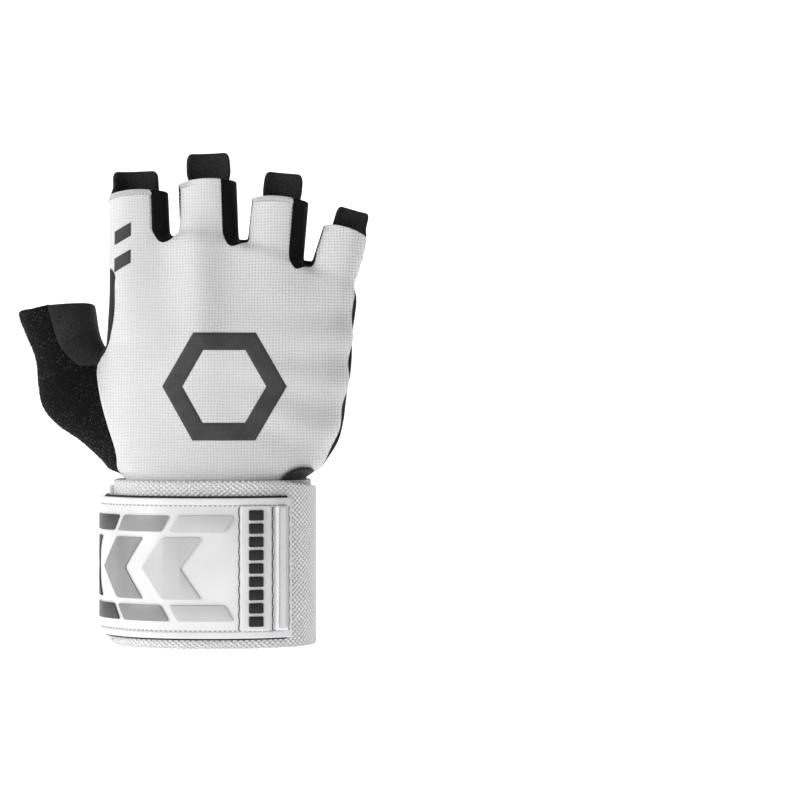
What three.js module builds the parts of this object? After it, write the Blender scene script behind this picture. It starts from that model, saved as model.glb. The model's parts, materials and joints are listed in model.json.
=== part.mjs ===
// A right-hand weightlifting glove, half-fingered, with a knitted wrist wrap and a rubber-faced closure.
// Millimetres. Z points to the fingertips, -Y out of the back of the hand, +Y out of the palm, and -X to
// the thumb. The origin is the middle of the wrist opening, at the lower edge of the wrap.
import * as THREE from "three";

// Main sizes of the hand that fills the glove, measured over the cloth
const RIM_HEIGHT = 66; // upper edge of the wrist wrap
const RIM_LAP = 1.6; // the hand's tables start this far below that edge
const PALM_LENGTH = 98; // from there to the web of the middle and ring fingers
const PALM_WIDTH = 98;
const PALM_DEPTH = 32;
const WRIST_WIDTH = 71;
const WRIST_DEPTH = 49;
const FINGER_WIDTH = 23.5;
const FINGER_DEPTH = 19.5;
const FINGER_LENGTH = 39; // knuckle line to the hem of the middle finger
const TAB_LENGTH = 12.5; // pull tab beyond the hem of the middle finger
const THUMB_REACH = 65; // how far the thumb's tip stands out from the wrist's axis
const THUMB_RISE = 69.5; // and how far above the wrap
const THUMB_WIDTH = 26.5;

// Cloth and rubber
const MESH_CLOTH = 1.3;
const SUEDE = 1.6;
const GUSSET_CLOTH = 1.1;
const TOWELLING = 2.0;
const SEAM_GAP = 0.3;
const TUCK = 9; // glove cloth hidden below the wrap's upper edge

// Wrist wrap: one knitted band wound round the wrist
const BAND_FOOT = 0.6; // lower edge of the band on the back, above its lower edge on the palm
const BAND_CLOTH = 1.8;
const BAND_TURNS = 2.04;
const LAY_GAP = 0.3; // air between a layer and what it lies on
const BAND_END = 180; // degrees round the wrist at which the outer end lies
const BAND_DROP = 5; // how much lower the band's upper edge lies on the palm side

// Closure: a moulded patch on black hook tape
const CLOSURE_HEIGHT = 54.4;
const CLOSURE_BASE = 5; // lower edge above the wrist opening
const CLOSURE_END = 31.2; // how far the square end stands to the little-finger side
const TAPE_THICKNESS = 1.0;
const TAPE_MARGIN = 0.8; // tape showing above and below the patch
const TAPE_LEAD = 12.6; // tape showing beyond the pointed end, on the palm side
const PATCH_THICKNESS = 1.4;
const PATCH_LENGTH = 122;
const PATCH_POINT = 15; // length of the tapered end
const PATCH_TIP = 16.5; // height of the blunt tip
const RIM_WIDTH = 3;
const SEAT_GAP = 0.2; // air below an inlay, plate, rib or stud
const INLAY_RISE = 0.5;
const PLATE_FROM = 9; // from the square end
const PLATE_WIDTH = 11.5;
const RIB_FROM = 2.2;
const PLATE_RISE = 0.8;
const RIB_WIDTH = 5;
const RIB_RISE = 1.8;
const STUD_COUNT = 9;
const STUD_LENGTH = 4.9;
const STUD_SHARE = 0.62; // share of the pitch that a stud fills
const STUD_RISE = 0.6;
const LABEL_RADIUS = 5;
const LABEL_PLACE = 22; // degrees round the wrist from the little-finger side to the back
const LABEL_THICKNESS = 0.9;
const LABEL_GAP = 1.4; // it stands a little off the cloth, which flares here

// How smoothly the parts of the hand run into each other
const WEB_BLEND = 5;
const FINGER_BLEND = 2;
const THUMB_BLEND = 11;
const JOINT_BLEND = 14;
const THUMB_CUT = 3; // the thumb's form is cut off steeply above the wrap, so that it leaves the wrist as it is
const THUMB_LAP = 4;
const THUMB_BULGE = 0.36; // how far a thumb panel's middle stands out from the line between its seams
const CROWN_BLEND = 6;
const ROUNDNESS = 2.35;

// Mesh fineness
const CELLS_LOWER = 7; // wrist to the web of the thumb
const CELLS_WEB_STRIP = 6; // along the web strip
const CELLS_KNUCKLE = 3; // beside the index knuckle
const CELLS_THUMB_SIDE = 6;
const CELLS_THUMB = 7; // round the thumb
const ROWS_PALM = CELLS_LOWER + CELLS_WEB_STRIP + CELLS_KNUCKLE;
const ROWS_FINGER = 4;
const ROWS_TAB = 4;
const CELLS_FINGER = 4;
const CELLS_WEB = 6;
const CELLS_GUSSET = 5;
const WRAP_STEP = 7.2; // degrees

// The hand in level sections. Rise is a share of PALM_LENGTH above the wrap's upper edge, thumbSide and
// littleSide are shares of PALM_WIDTH from the wrist's axis, back and palm are shares of PALM_DEPTH.
const PALM_SECTIONS = [
  { rise: 0.06, thumbSide: 0.402, littleSide: 0.432, back: 0.74, palm: 0.78 },
  { rise: 0.12, thumbSide: 0.408, littleSide: 0.472, back: 0.71, palm: 0.77 },
  { rise: 0.2, thumbSide: 0.416, littleSide: 0.51, back: 0.66, palm: 0.74 },
  { rise: 0.36, thumbSide: 0.43, littleSide: 0.542, back: 0.6, palm: 0.66 },
  { rise: 0.505, thumbSide: 0.436, littleSide: 0.556, back: 0.55, palm: 0.6 },
  { rise: 0.648, thumbSide: 0.428, littleSide: 0.568, back: 0.47, palm: 0.52 },
  { rise: 0.777, thumbSide: 0.416, littleSide: 0.58, back: 0.4, palm: 0.44 },
  { rise: 0.9, thumbSide: 0.41, littleSide: 0.595, back: 0.33, palm: 0.36 },
  { rise: 1.05, thumbSide: 0.4, littleSide: 0.6, back: 0.29, palm: 0.31 },
];

// Fingers from the thumb side. Across is the root's place as a share of PALM_WIDTH, lean is in degrees
// towards the little finger, and width, depth, length and tab are shares of the sizes above.
const FINGERS = [
  { name: "index", across: -0.296, lean: -2.2, width: 1.03, depth: 1.0, length: 0.885, tab: 0.86, taper: 0.022 },
  { name: "middle", across: -0.012, lean: -2.4, width: 0.99, depth: 1.02, length: 0.995, tab: 1.1, taper: 0.0 },
  { name: "ring", across: 0.242, lean: 5.2, width: 0.985, depth: 0.98, length: 0.82, tab: 1.02, taper: 0.02 },
  { name: "little", across: 0.482, lean: 16, width: 0.8, depth: 0.86, length: 0.52, tab: 0.84, taper: 0.07 },
];
const KNUCKLE_RISE = 0.842; // height of the finger roots, as a share of PALM_LENGTH
const FINGER_ROOT = 24; // how far the finger forms run down into the palm
const FINGER_CURL = 0.06; // lean of the fingers towards the palm

// Webs between the fingers. The seams dip round each web through these points, seen from the back and
// from the palm, as shares of PALM_WIDTH and PALM_LENGTH.
const WEBS = [
  {
    back: [{ across: -0.207, rise: 0.98 }, { across: -0.168, rise: 0.99 }],
    palm: [{ across: -0.161, rise: 0.962 }],
  },
  {
    back: [{ across: 0.069, rise: 0.962 }, { across: 0.103, rise: 0.969 }],
    palm: [{ across: 0.114, rise: 0.948 }],
  },
  {
    back: [{ across: 0.335, rise: 0.866 }, { across: 0.365, rise: 0.876 }],
    palm: [{ across: 0.375, rise: 0.87 }],
  },
];
const CROWN = [
  { across: -0.43, crown: 0.93 },
  { across: -0.16, crown: 1.002 },
  { across: 0.11, crown: 0.976 },
  { across: 0.37, crown: 0.886 },
  { across: 0.62, crown: 0.76 },
];
const WEB_START = 0.045; // height of a web seam's straight sides above its lowest point
const WEB_ARCH = 4; // how far a web stands above the seams on its two sides

// Seams along each finger, in degrees round its axis: 0 is the little-finger side, 90 the back
const SEAM_BACK = { thumbSide: 160, littleSide: 56 };
const SEAM_PALM = { thumbSide: 225, littleSide: -45 };
const SEAM_INDEX_EDGE = 184;
const SEAM_LITTLE_EDGE = -3;
const HEM_CROWN = 0.055; // rise of the hem over the back of a finger, as a share of FINGER_LENGTH
const TAB_NARROWING = 0.16; // share of its width that a tab loses towards its end
const TAB_INSET = { index: 16, little: 26 }; // degrees that the outer tabs stand back from the glove's edge

// The thumb's axis from the wrist to beyond its opening, as shares of THUMB_REACH, THUMB_RISE,
// PALM_DEPTH and THUMB_WIDTH.
const THUMB = [
  { out: 0.47, up: 0.25, forward: 0.24, radius: 0.62 },
  { out: 0.84, up: 0.53, forward: 0.31, radius: 0.53 },
  { out: 0.985, up: 1.0, forward: 0.28, radius: 0.485 },
  { out: 1.06, up: 1.22, forward: 0.27, radius: 0.465 },
];
const THUMB_OPENING = 0.975; // height of the thumb's hem along its last bone
const THUMB_HEM_TILT = 0.06; // rise of the hem on the outer side
const THUMB_HEM_CROWN = 0.08; // and over the back
const THUMB_SEAM_BACK = 96;
const THUMB_SEAM_WEB = -8;
const THUMB_SEAM_FRONT = 240;

// Seam that bounds the white cloth on the thumb side, seen from the back. Across is a share of
// PALM_WIDTH and rise a share of PALM_LENGTH above the wrap's upper edge.
const EDGE_BY_THUMB = [
  { across: -0.355, rise: 0.021 },
  { across: -0.388, rise: 0.1 },
  { across: -0.427, rise: 0.235 },
  { across: -0.456, rise: 0.34 },
  { across: -0.474, rise: 0.44 },
  { across: -0.474, rise: 0.482 },
];
const EDGE_BY_WEB = [
  { across: -0.456, rise: 0.52 },
  { across: -0.423, rise: 0.58 },
  { across: -0.4, rise: 0.69 },
  { across: -0.397, rise: 0.8 },
  { across: -0.398, rise: 0.855 },
];
const THUMB_UNDER_WEB = [
  { across: -0.577, rise: 0.505 },
  { across: -0.525, rise: 0.472 },
];
const STRIP_END = 0.8; // the web strip's last cells run this share of the way to the seams' meeting
const THUMB_WEB = { across: -0.449, rise: 0.528 }; // where palm, thumb and web strip meet, seen from the palm
// Curved seam between palm and thumb, seen from the palm
const THUMB_LINE = [
  { across: -0.315, rise: 0.021 },
  { across: -0.29, rise: 0.09 },
  { across: -0.263, rise: 0.205 },
  { across: -0.258, rise: 0.32 },
  { across: -0.285, rise: 0.43 },
  { across: -0.352, rise: 0.505 },
];
// Lower stretch of the seam between towelling and suede, seen from the palm
const FRONT_LINE = [
  { across: -0.345, rise: 0.021 },
  { across: -0.385, rise: 0.06 },
];

// Closure pattern, seen from the back. Each shape is bounded by straight or bent edges: from and to are
// distances along the patch back from its square end, as shares of PATCH_LENGTH, at mid height, and the
// lean is how far the edges run on towards the square end over the shape's height.
const CHEVRONS = [
  { name: "light", tip: 0.481, notch: 0.357, colour: 0xd9dadb },
  { name: "middle", tip: 0.65, notch: 0.546, colour: 0xa3a4a6 },
  { name: "dark", tip: 0.857, notch: 0.734, colour: 0x3c3d40 },
];
const BARS = [
  { name: "light", from: 0.202, to: 0.378 },
  { name: "middle", from: 0.404, to: 0.563 },
  { name: "dark", from: 0.584, to: 0.757 },
];
const CHEVRON_HALF = 0.22; // half height of a chevron, as a share of CLOSURE_HEIGHT
const CHEVRON_LEAN = 0.067; // how far its arms run towards the square end
const BAR_LEVEL = 0.32; // mid height of a bar above the patch's middle
const BAR_HALF = 0.057;
const BAR_LEAN = 0.028;

const colours = {
  white: 0xe9e9ea,
  suede: 0x1f1f21,
  gusset: 0x161617,
  towelling: 0x141415,
  knit: 0xdddddd,
  tape: 0x101011,
  rubber: 0xf1f1f2,
  label: 0x0d0d0e,
};

const v3 = (x, y, z) => new THREE.Vector3(x, y, z);
const radians = (degrees) => (degrees * Math.PI) / 180;
const mix = (a, b, t) => a + (b - a) * t;
const clamp = (x, low, high) => Math.min(Math.max(x, low), high);
const ramp = (from, to, at) => {
  const t = clamp((at - from) / (to - from), 0, 1);
  return t * t * (3 - 2 * t);
};
const smoothMin = (a, b, k) => {
  const h = Math.max(k - Math.abs(a - b), 0) / k;
  return Math.min(a, b) - (h * h * h * k) / 6;
};
const smoothMax = (a, b, k) => -smoothMin(-a, -b, k);
const atRise = (rise) => RIM_HEIGHT - RIM_LAP + rise * PALM_LENGTH;

// A smooth curve through a table's rows: returns a row with each number worked out at the given place
function curveThrough(rows, by) {
  const keys = Object.keys(rows[0]).filter((key) => typeof rows[0][key] === "number");
  const slope = (key, i) => {
    const a = rows[Math.max(i - 1, 0)];
    const b = rows[Math.min(i + 1, rows.length - 1)];
    return (b[key] - a[key]) / (b[by] - a[by]);
  };
  return (at) => {
    const x = clamp(at, rows[0][by], rows[rows.length - 1][by]);
    let i = 0;
    while (i < rows.length - 2 && x > rows[i + 1][by]) i += 1;
    const step = rows[i + 1][by] - rows[i][by];
    const t = (x - rows[i][by]) / step;
    const made = {};
    for (const key of keys) {
      made[key] =
        rows[i][key] * (1 + 2 * t) * (1 - t) ** 2 +
        slope(key, i) * step * t * (1 - t) ** 2 +
        rows[i + 1][key] * t * t * (3 - 2 * t) -
        slope(key, i + 1) * step * t * t * (1 - t);
    }
    return made;
  };
}

// The hand's form as a field: negative inside, about the distance in millimetres near the surface
const mouth = RIM_HEIGHT + LAY_GAP; // below this the glove fills the wrap evenly
const wristSection = { left: WRIST_WIDTH / 2, right: WRIST_WIDTH / 2, back: WRIST_DEPTH / 2, palm: WRIST_DEPTH / 2 };
const sections = curveThrough(
  [
    { height: 0, ...wristSection },
    { height: mouth, ...wristSection },
    ...PALM_SECTIONS.map((row) => ({
      height: atRise(row.rise),
      left: row.thumbSide * PALM_WIDTH,
      right: row.littleSide * PALM_WIDTH,
      back: row.back * PALM_DEPTH,
      palm: row.palm * PALM_DEPTH,
    })),
  ],
  "height",
);
const crownAt = curveThrough(
  CROWN.map((row) => ({ across: row.across * PALM_WIDTH, height: atRise(row.crown) })),
  "across",
);

function ovalDistance(x, y, a, b) {
  const u = Math.abs(x) / a;
  const v = Math.abs(y) / b;
  const r = (u ** ROUNDNESS + v ** ROUNDNESS) ** (1 / ROUNDNESS);
  if (r < 1e-9) return -Math.min(a, b);
  const steepness = Math.hypot((u / r) ** (ROUNDNESS - 1) / a, (v / r) ** (ROUNDNESS - 1) / b);
  return (r - 1) / steepness;
}

function palmField(p) {
  const s = sections(p.z);
  const middle = (s.right - s.left) / 2;
  const side = ovalDistance(p.x - middle, p.y, (s.left + s.right) / 2, p.y < 0 ? s.back : s.palm);
  return smoothMax(side, p.z - crownAt(p.x).height, CROWN_BLEND);
}

const fingers = FINGERS.map((row) => {
  const lean = radians(row.lean);
  return {
    ...row,
    root: v3(row.across * PALM_WIDTH, 0, atRise(KNUCKLE_RISE)),
    along: v3(Math.sin(lean), 0, Math.cos(lean)),
    aside: v3(Math.cos(lean), 0, -Math.sin(lean)),
    halfWidth: (row.width * FINGER_WIDTH) / 2,
    halfDepth: (row.depth * FINGER_DEPTH) / 2,
    hem: row.length * FINGER_LENGTH,
    tabLength: row.tab * TAB_LENGTH,
  };
});
const fingerCentre = (f, s) => f.root.clone().addScaledVector(f.along, s).add(v3(0, FINGER_CURL * s, 0));

function fingerField(f, p) {
  const d = p.clone().sub(f.root);
  const s = d.dot(f.along);
  const narrowing = 1 - f.taper * (s / FINGER_ROOT);
  const width = f.halfWidth * clamp(narrowing, 0.8, 1.2);
  const side = ovalDistance(d.dot(f.aside), p.y - FINGER_CURL * s, width, f.halfDepth);
  return smoothMax(side, -FINGER_ROOT - s, WEB_BLEND);
}

const thumbStations = THUMB.map((row) => ({
  at: v3(-row.out * THUMB_REACH, row.forward * PALM_DEPTH, RIM_HEIGHT + row.up * THUMB_RISE - RIM_LAP),
  radius: row.radius * THUMB_WIDTH,
}));

// Distance to a cone with round ends
function coneField(a, b, p) {
  const axis = b.at.clone().sub(a.at);
  const length2 = axis.lengthSq();
  const fall = a.radius - b.radius;
  const slant2 = length2 - fall * fall;
  const from = p.clone().sub(a.at);
  const y = from.dot(axis);
  const z = y - length2;
  const x2 = from.clone().multiplyScalar(length2).addScaledVector(axis, -y).lengthSq();
  const y2 = y * y * length2;
  const z2 = z * z * length2;
  const k = Math.sign(fall) * fall * fall * x2;
  if (Math.sign(z) * slant2 * z2 > k) return Math.sqrt(x2 + z2) / length2 - b.radius;
  if (Math.sign(y) * slant2 * y2 < k) return Math.sqrt(x2 + y2) / length2 - a.radius;
  return (Math.sqrt((x2 * slant2) / length2) + y * fall) / length2 - a.radius;
}

function thumbField(p) {
  let d = coneField(thumbStations[0], thumbStations[1], p);
  for (let i = 1; i < thumbStations.length - 1; i += 1) {
    d = smoothMin(d, coneField(thumbStations[i], thumbStations[i + 1], p), JOINT_BLEND);
  }
  return Math.max(d, THUMB_CUT * (RIM_HEIGHT + THUMB_LAP - p.z));
}

function handField(p) {
  const near = fingers.map((f) => fingerField(f, p)).reduce((a, b) => smoothMin(a, b, FINGER_BLEND));
  return smoothMin(smoothMin(palmField(p), near, WEB_BLEND), thumbField(p), THUMB_BLEND);
}

function steepest(p) {
  const h = 0.05;
  const change = (axis) => handField(p.clone().add(axis)) - handField(p.clone().sub(axis));
  return v3(change(v3(h, 0, 0)), change(v3(0, h, 0)), change(v3(0, 0, h))).divideScalar(2 * h);
}
const outward = (p) => steepest(p).normalize();

// Moves a point straight to the surface, or to a level outside it
function settle(p, level = 0) {
  const q = p.clone();
  for (let i = 0; i < 14; i += 1) {
    const g = steepest(q);
    const off = handField(q) - level;
    if (Math.abs(off) < 1e-3) break;
    q.addScaledVector(g, -clamp(off, -4, 4) / Math.max(g.lengthSq(), 0.3));
  }
  return q;
}

// Where a ray from inside the hand leaves it
function leaves(from, direction) {
  let near = 0;
  let far = 1;
  const at = (t) => from.clone().addScaledVector(direction, t);
  while (handField(at(far)) < 0 && far < 90) far += 1;
  for (let i = 0; i < 18; i += 1) {
    const middle = (near + far) / 2;
    if (handField(at(middle)) < 0) near = middle;
    else far = middle;
  }
  return at(far);
}

// Where a ray from outside first meets the hand, looking at its back (side -1) or its palm (side 1)
function seenFrom(side, x, z) {
  let y = side * 45;
  while (handField(v3(x, y, z)) > 0 && Math.abs(y) <= 45) y -= side * 0.5;
  return leaves(v3(x, y, z), v3(0, side, 0));
}

// Lays a point over the back (side -1) or the palm side (side 1): straight out in the middle and below
// the thumb's web, and by the shortest way near the edges
const layOver = (side) => (p) => {
  const s = sections(p.z);
  const depth = side < 0 ? s.back : s.palm;
  let straightness = ramp(depth * 0.6, depth * 1.2, Math.min(p.x + s.left, s.right - p.x));
  if (side > 0 && p.x < 0) {
    const web = atRise(THUMB_WEB.rise);
    straightness = Math.max(straightness, 1 - ramp(web, web + THUMB_BLEND, p.z));
  }
  if (straightness === 0) return settle(p);
  const over = seenFrom(side, p.x, p.z);
  return straightness === 1 ? over : settle(settle(p).lerp(over, straightness));
};

// Lays a point of a thumb panel: it is moved out to its own side of the thumb, and then the shortest way
const layOnThumb = (side) => (p, across, up) => {
  const bulge = THUMB_BULGE * THUMB_WIDTH * 4 * across * (1 - across) * Math.min(2 * up, 1);
  return settle(p.clone().addScaledVector(side, bulge));
};

const inHand = (row) => [row.across * PALM_WIDTH, atRise(row.rise)];

// A seam: a smooth curve through points on the hand, laid on the surface, worked out as a function of 0 to 1
function seamThrough(points, even = true) {
  const curve = new THREE.CatmullRomCurve3(points, false, "centripetal");
  return (t) => settle(even ? curve.getPointAt(clamp(t, 0, 1)) : curve.getPoint(clamp(t, 0, 1)));
}

// A point on a finger's surface, at a distance along it and an angle round it
function onFinger(f, s, angle) {
  const a = radians(angle);
  const direction = f.aside.clone().multiplyScalar(Math.cos(a)).add(v3(0, -Math.sin(a), 0));
  return leaves(fingerCentre(f, s), direction);
}

// A sheet is a list of points with four-sided cells
class Sheet {
  constructor() {
    this.points = [];
    this.cells = [];
  }
  add(p) {
    this.points.push(p);
    return this.points.length - 1;
  }
  cell(a, b, c, d) {
    this.cells.push([a, b, c, d]);
  }
}

// The first row again at the lower edge of the cloth, hidden in the wrap
const tucked = (rows) => [rows[0].map((p) => v3(p.x, p.y, RIM_HEIGHT - TUCK)), ...rows];

// A sheet of rows, each a list of points of the same length
function sheetOfRows(rows) {
  const sheet = new Sheet();
  const ids = rows.map((row) => row.map((p) => sheet.add(p)));
  for (let r = 0; r + 1 < ids.length; r += 1) {
    for (let c = 0; c + 1 < ids[r].length; c += 1) {
      sheet.cell(ids[r][c], ids[r][c + 1], ids[r + 1][c + 1], ids[r + 1][c]);
    }
  }
  return sheet;
}

// Fills the space between four edge curves, and lays it on the hand
function patchRows(bottom, top, left, right, lay) {
  const last = left.length - 1;
  const end = bottom.length - 1;
  return left.map((edge, r) => {
    const v = r / last;
    return bottom.map((foot, c) => {
      const u = c / end;
      if (r === 0) return bottom[c];
      if (r === last) return top[c];
      if (c === 0) return left[r];
      if (c === end) return right[r];
      const p = v3(0, 0, 0)
        .addScaledVector(foot, 1 - v)
        .addScaledVector(top[c], v)
        .addScaledVector(edge, 1 - u)
        .addScaledVector(right[r], u)
        .addScaledVector(bottom[0], -(1 - u) * (1 - v))
        .addScaledVector(bottom[end], -u * (1 - v))
        .addScaledVector(top[0], -(1 - u) * v)
        .addScaledVector(top[end], -u * v);
      return lay(p, u, v);
    });
  });
}

// Thickens a sheet into a closed solid. The sheet is the outer face, normals gives the way out at each
// point, and the edges are drawn in by half a seam gap.
function thicken(sheet, thickness, normalAt = outward, gap = SEAM_GAP) {
  const normals = sheet.points.map((p) => normalAt(p));
  const faceNormal = ([a, b, c, d]) => {
    const p = sheet.points;
    return p[c].clone().sub(p[a]).cross(p[d].clone().sub(p[b]));
  };
  const agree = sheet.cells.reduce((sum, cell) => sum + faceNormal(cell).dot(normals[cell[0]]), 0);
  const cells = agree > 0 ? sheet.cells : sheet.cells.map(([a, b, c, d]) => [d, c, b, a]);

  const edges = new Map();
  for (const cell of cells) {
    cell.forEach((a, i) => edges.set(a + ":" + cell[(i + 1) % 4], [a, cell[(i + 1) % 4]]));
  }
  const border = [...edges.values()].filter(([a, b]) => !edges.has(b + ":" + a));
  const inwards = new Map();
  for (const [a, b] of border) {
    const run = sheet.points[b].clone().sub(sheet.points[a]).normalize();
    for (const id of [a, b]) {
      const way = normals[id].clone().cross(run).normalize();
      if (!inwards.has(id)) inwards.set(id, []);
      inwards.get(id).push(way);
    }
  }
  const outer = sheet.points.map((p, id) => {
    const ways = inwards.get(id);
    if (!ways) return p.clone();
    const sum = ways.reduce((a, b) => a.clone().add(b), v3(0, 0, 0)).normalize();
    const mitre = Math.max(sum.dot(ways[0]), 0.5);
    return p.clone().addScaledVector(sum, gap / 2 / mitre);
  });
  const inner = outer.map((p, id) => p.clone().addScaledVector(normals[id], -thickness));

  const positions = [];
  const push = (...points) => points.forEach((p) => positions.push(p.x, p.y, p.z));
  const four = (a, b, c, d) => {
    const short = a.distanceToSquared(c) <= b.distanceToSquared(d);
    if (short) push(a, b, c, a, c, d);
    else push(a, b, d, b, c, d);
  };
  for (const [a, b, c, d] of cells) {
    four(outer[a], outer[b], outer[c], outer[d]);
    four(inner[d], inner[c], inner[b], inner[a]);
  }
  for (const [a, b] of border) four(outer[b], outer[a], inner[a], inner[b]);
  const geometry = new THREE.BufferGeometry();
  geometry.setAttribute("position", new THREE.Float32BufferAttribute(positions, 3));
  geometry.computeVertexNormals();
  return geometry;
}

const glove = new THREE.Group();
function addPiece(name, geometry, colour, roughness = 0.9, metalness = 0) {
  const material = new THREE.MeshStandardMaterial({ color: colour, roughness, metalness });
  const mesh = new THREE.Mesh(geometry, material);
  mesh.name = name;
  glove.add(mesh);
}

const spread = (count, from = 0, to = 1) =>
  Array.from({ length: count + 1 }, (_, i) => mix(from, to, i / count));

// Seams of the palm and thumb, each a fixed run of points that both of its cloths share
const sectionAt = (height, angle) => leaves(v3(0, 0, height), v3(Math.cos(angle), -Math.sin(angle), 0));
const byThumb = EDGE_BY_THUMB.map((row) => seenFrom(-1, ...inHand(row)));
const byWeb = EDGE_BY_WEB.map((row) => seenFrom(-1, ...inHand(row)));
const littleEdge = spread(6, mouth, atRise(0.84)).map((height) => {
  const s = sections(height);
  const centre = v3(s.right - s.back, 0, height);
  return leaves(centre, v3(Math.cos(radians(8)), -Math.sin(radians(8)), 0));
});

// How far up a finger its side seams start above a web
const stationAt = (f, height) => (height - f.root.z) / f.along.z;
function webStart(i, seam) {
  return atRise(WEBS[i][seam][0].rise + WEB_START);
}

// Lowest row of finger cloth: for each finger the distances along it at its two seams
function baseOf(i, seam) {
  const f = fingers[i];
  const thumbSide = i > 0 ? webStart(i - 1, seam) : atRise(1.03);
  const littleSide = i < WEBS.length ? webStart(i, seam) : atRise(0.86);
  return { thumbSide: stationAt(f, thumbSide), littleSide: stationAt(f, littleSide) };
}

const sideHem = (f) => f.hem - HEM_CROWN * FINGER_LENGTH;
const hemAt = (f, angle) => sideHem(f) + HEM_CROWN * FINGER_LENGTH * Math.max(Math.sin(radians(angle)), 0);

// Points over one finger from its thumb side to its little-finger side, row by row from the base up.
// Angles run from thumbSide to littleSide, on the back or on the palm.
function fingerRows(i, seam, angles, topAt) {
  const f = fingers[i];
  const base = baseOf(i, seam);
  return spread(ROWS_FINGER).map((v) =>
    spread(CELLS_FINGER).map((u) => {
      const angle = mix(angles.thumbSide, angles.littleSide, u);
      return onFinger(f, mix(mix(base.thumbSide, base.littleSide, u), topAt(f, angle), v), angle);
    }),
  );
}

const backAngles = fingers.map((f, i) => ({
  thumbSide: i === 0 ? SEAM_INDEX_EDGE : SEAM_BACK.thumbSide,
  littleSide: i === fingers.length - 1 ? SEAM_LITTLE_EDGE : SEAM_BACK.littleSide,
}));
const palmAngles = fingers.map((f, i) => ({
  thumbSide: i === 0 ? SEAM_INDEX_EDGE : SEAM_PALM.thumbSide,
  littleSide: i === fingers.length - 1 ? SEAM_LITTLE_EDGE + 360 : SEAM_PALM.littleSide + 360,
}));
const backFingers = fingers.map((f, i) => fingerRows(i, "back", backAngles[i], hemAt));
const palmFingers = fingers.map((f, i) => fingerRows(i, "palm", palmAngles[i], sideHem));

// The round bottom of a web seam, between two finger seams
function webArc(i, seam, from, to) {
  const side = seam === "back" ? -1 : 1;
  const dip = seamThrough([from, ...WEBS[i][seam].map((row) => seenFrom(side, ...inHand(row))), to]);
  return spread(CELLS_WEB).slice(1, -1).map(dip);
}

// One cloth over the palm or back and its four fingers, as a comb of cells
function combSheet(fingerPoints, seam, bottom, left, right, extraRows = []) {
  const crest = [];
  const starts = [];
  fingerPoints.forEach((rows, i) => {
    starts.push(crest.length);
    crest.push(...rows[0]);
    if (i < WEBS.length) {
      const arc = webArc(i, seam, rows[0][CELLS_FINGER], fingerPoints[i + 1][0][0]);
      crest.push(...arc);
    }
  });
  const columns = crest.length - 1;
  const body = patchRows(bottom(left[0], right[0], columns), crest, left, right, layOver(seam === "back" ? -1 : 1));
  const sheet = sheetOfRows(tucked(body));
  const crestIds = body.length;
  fingerPoints.forEach((rows, i) => {
    let below = rows[0].map((_, c) => crestIds * (columns + 1) + starts[i] + c);
    for (const row of [...rows.slice(1), ...(extraRows[i] ?? [])]) {
      const above = row.map((p) => sheet.add(p));
      for (let c = 0; c + 1 < row.length; c += 1) sheet.cell(below[c], below[c + 1], above[c + 1], above[c]);
      below = above;
    }
  });
  return { sheet, crest, starts };
}

// The thumb: a point on its surface, at a share of the way to its hem and an angle round it
const [, thumbJoint, thumbTip] = thumbStations;
const thumbAlong = thumbTip.at.clone().sub(thumbJoint.at).normalize();
const thumbAside = v3(thumbAlong.z, 0, -thumbAlong.x).normalize();
function onThumb(share, angle) {
  const a = radians(angle);
  const direction = thumbAside.clone().multiplyScalar(Math.cos(a)).add(v3(0, -Math.sin(a), 0));
  const hem = THUMB_OPENING - THUMB_HEM_TILT * Math.cos(a) + THUMB_HEM_CROWN * Math.max(Math.sin(a), 0);
  return leaves(thumbJoint.at.clone().lerp(thumbTip.at, share * hem), direction);
}
const onIndexEdge = (rise, turn = 0) =>
  onFinger(fingers[0], stationAt(fingers[0], atRise(rise)), SEAM_INDEX_EDGE + turn);
const onThumbAt = (angle, shares) => shares.map((share) => onThumb(share, angle));
const seamRun = (points, cells) => spread(cells).map(seamThrough(points));
const join = (...runs) => runs.reduce((a, b) => [...a, ...b.slice(1)]);
const reversed = (run) => [...run].reverse();

const corner = byThumb[byThumb.length - 1];
const crotch = seenFrom(1, ...inHand(THUMB_WEB));
const strapEnd = onIndexEdge(0.885, -8);
const indexBase = backFingers[0][0][0];
const underWeb = THUMB_UNDER_WEB.map((row) => seenFrom(-1, ...inHand(row)));
const thumbLine = THUMB_LINE.map((row) => seenFrom(1, ...inHand(row)));
const frontLine = FRONT_LINE.map((row) => seenFrom(1, ...inHand(row)));

const seamWristToWeb = seamRun(byThumb, CELLS_LOWER);
const seamWebToStrap = seamRun([corner, ...byWeb, strapEnd], CELLS_WEB_STRIP);
const seamStrapToFinger = seamRun([strapEnd, onIndexEdge(0.95), indexBase], CELLS_KNUCKLE);
const seamThumbBack = seamRun([corner, ...reversed(underWeb), ...onThumbAt(THUMB_SEAM_BACK, [0.55, 0.8, 1])], CELLS_THUMB_SIDE);
const seamThumbWeb = seamRun([crotch, ...onThumbAt(THUMB_SEAM_WEB, [0.5, 0.75, 1])], CELLS_THUMB_SIDE);
const seamCrotchToStrap = seamRun([crotch, onIndexEdge(0.64, 30), onIndexEdge(0.72, 20), onIndexEdge(0.81, 10), strapEnd], CELLS_WEB_STRIP);
const seamPalmToThumb = seamRun([...thumbLine, crotch], CELLS_LOWER);
const seamThumbFront = seamRun(
  [...frontLine, ...onThumbAt(THUMB_SEAM_FRONT, [0.02, 0.35, 0.7, 1])],
  CELLS_LOWER + CELLS_THUMB_SIDE,
);
const seamLittleEdge = seamRun([...littleEdge, backFingers[3][0][CELLS_FINGER]], ROWS_PALM);

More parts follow.
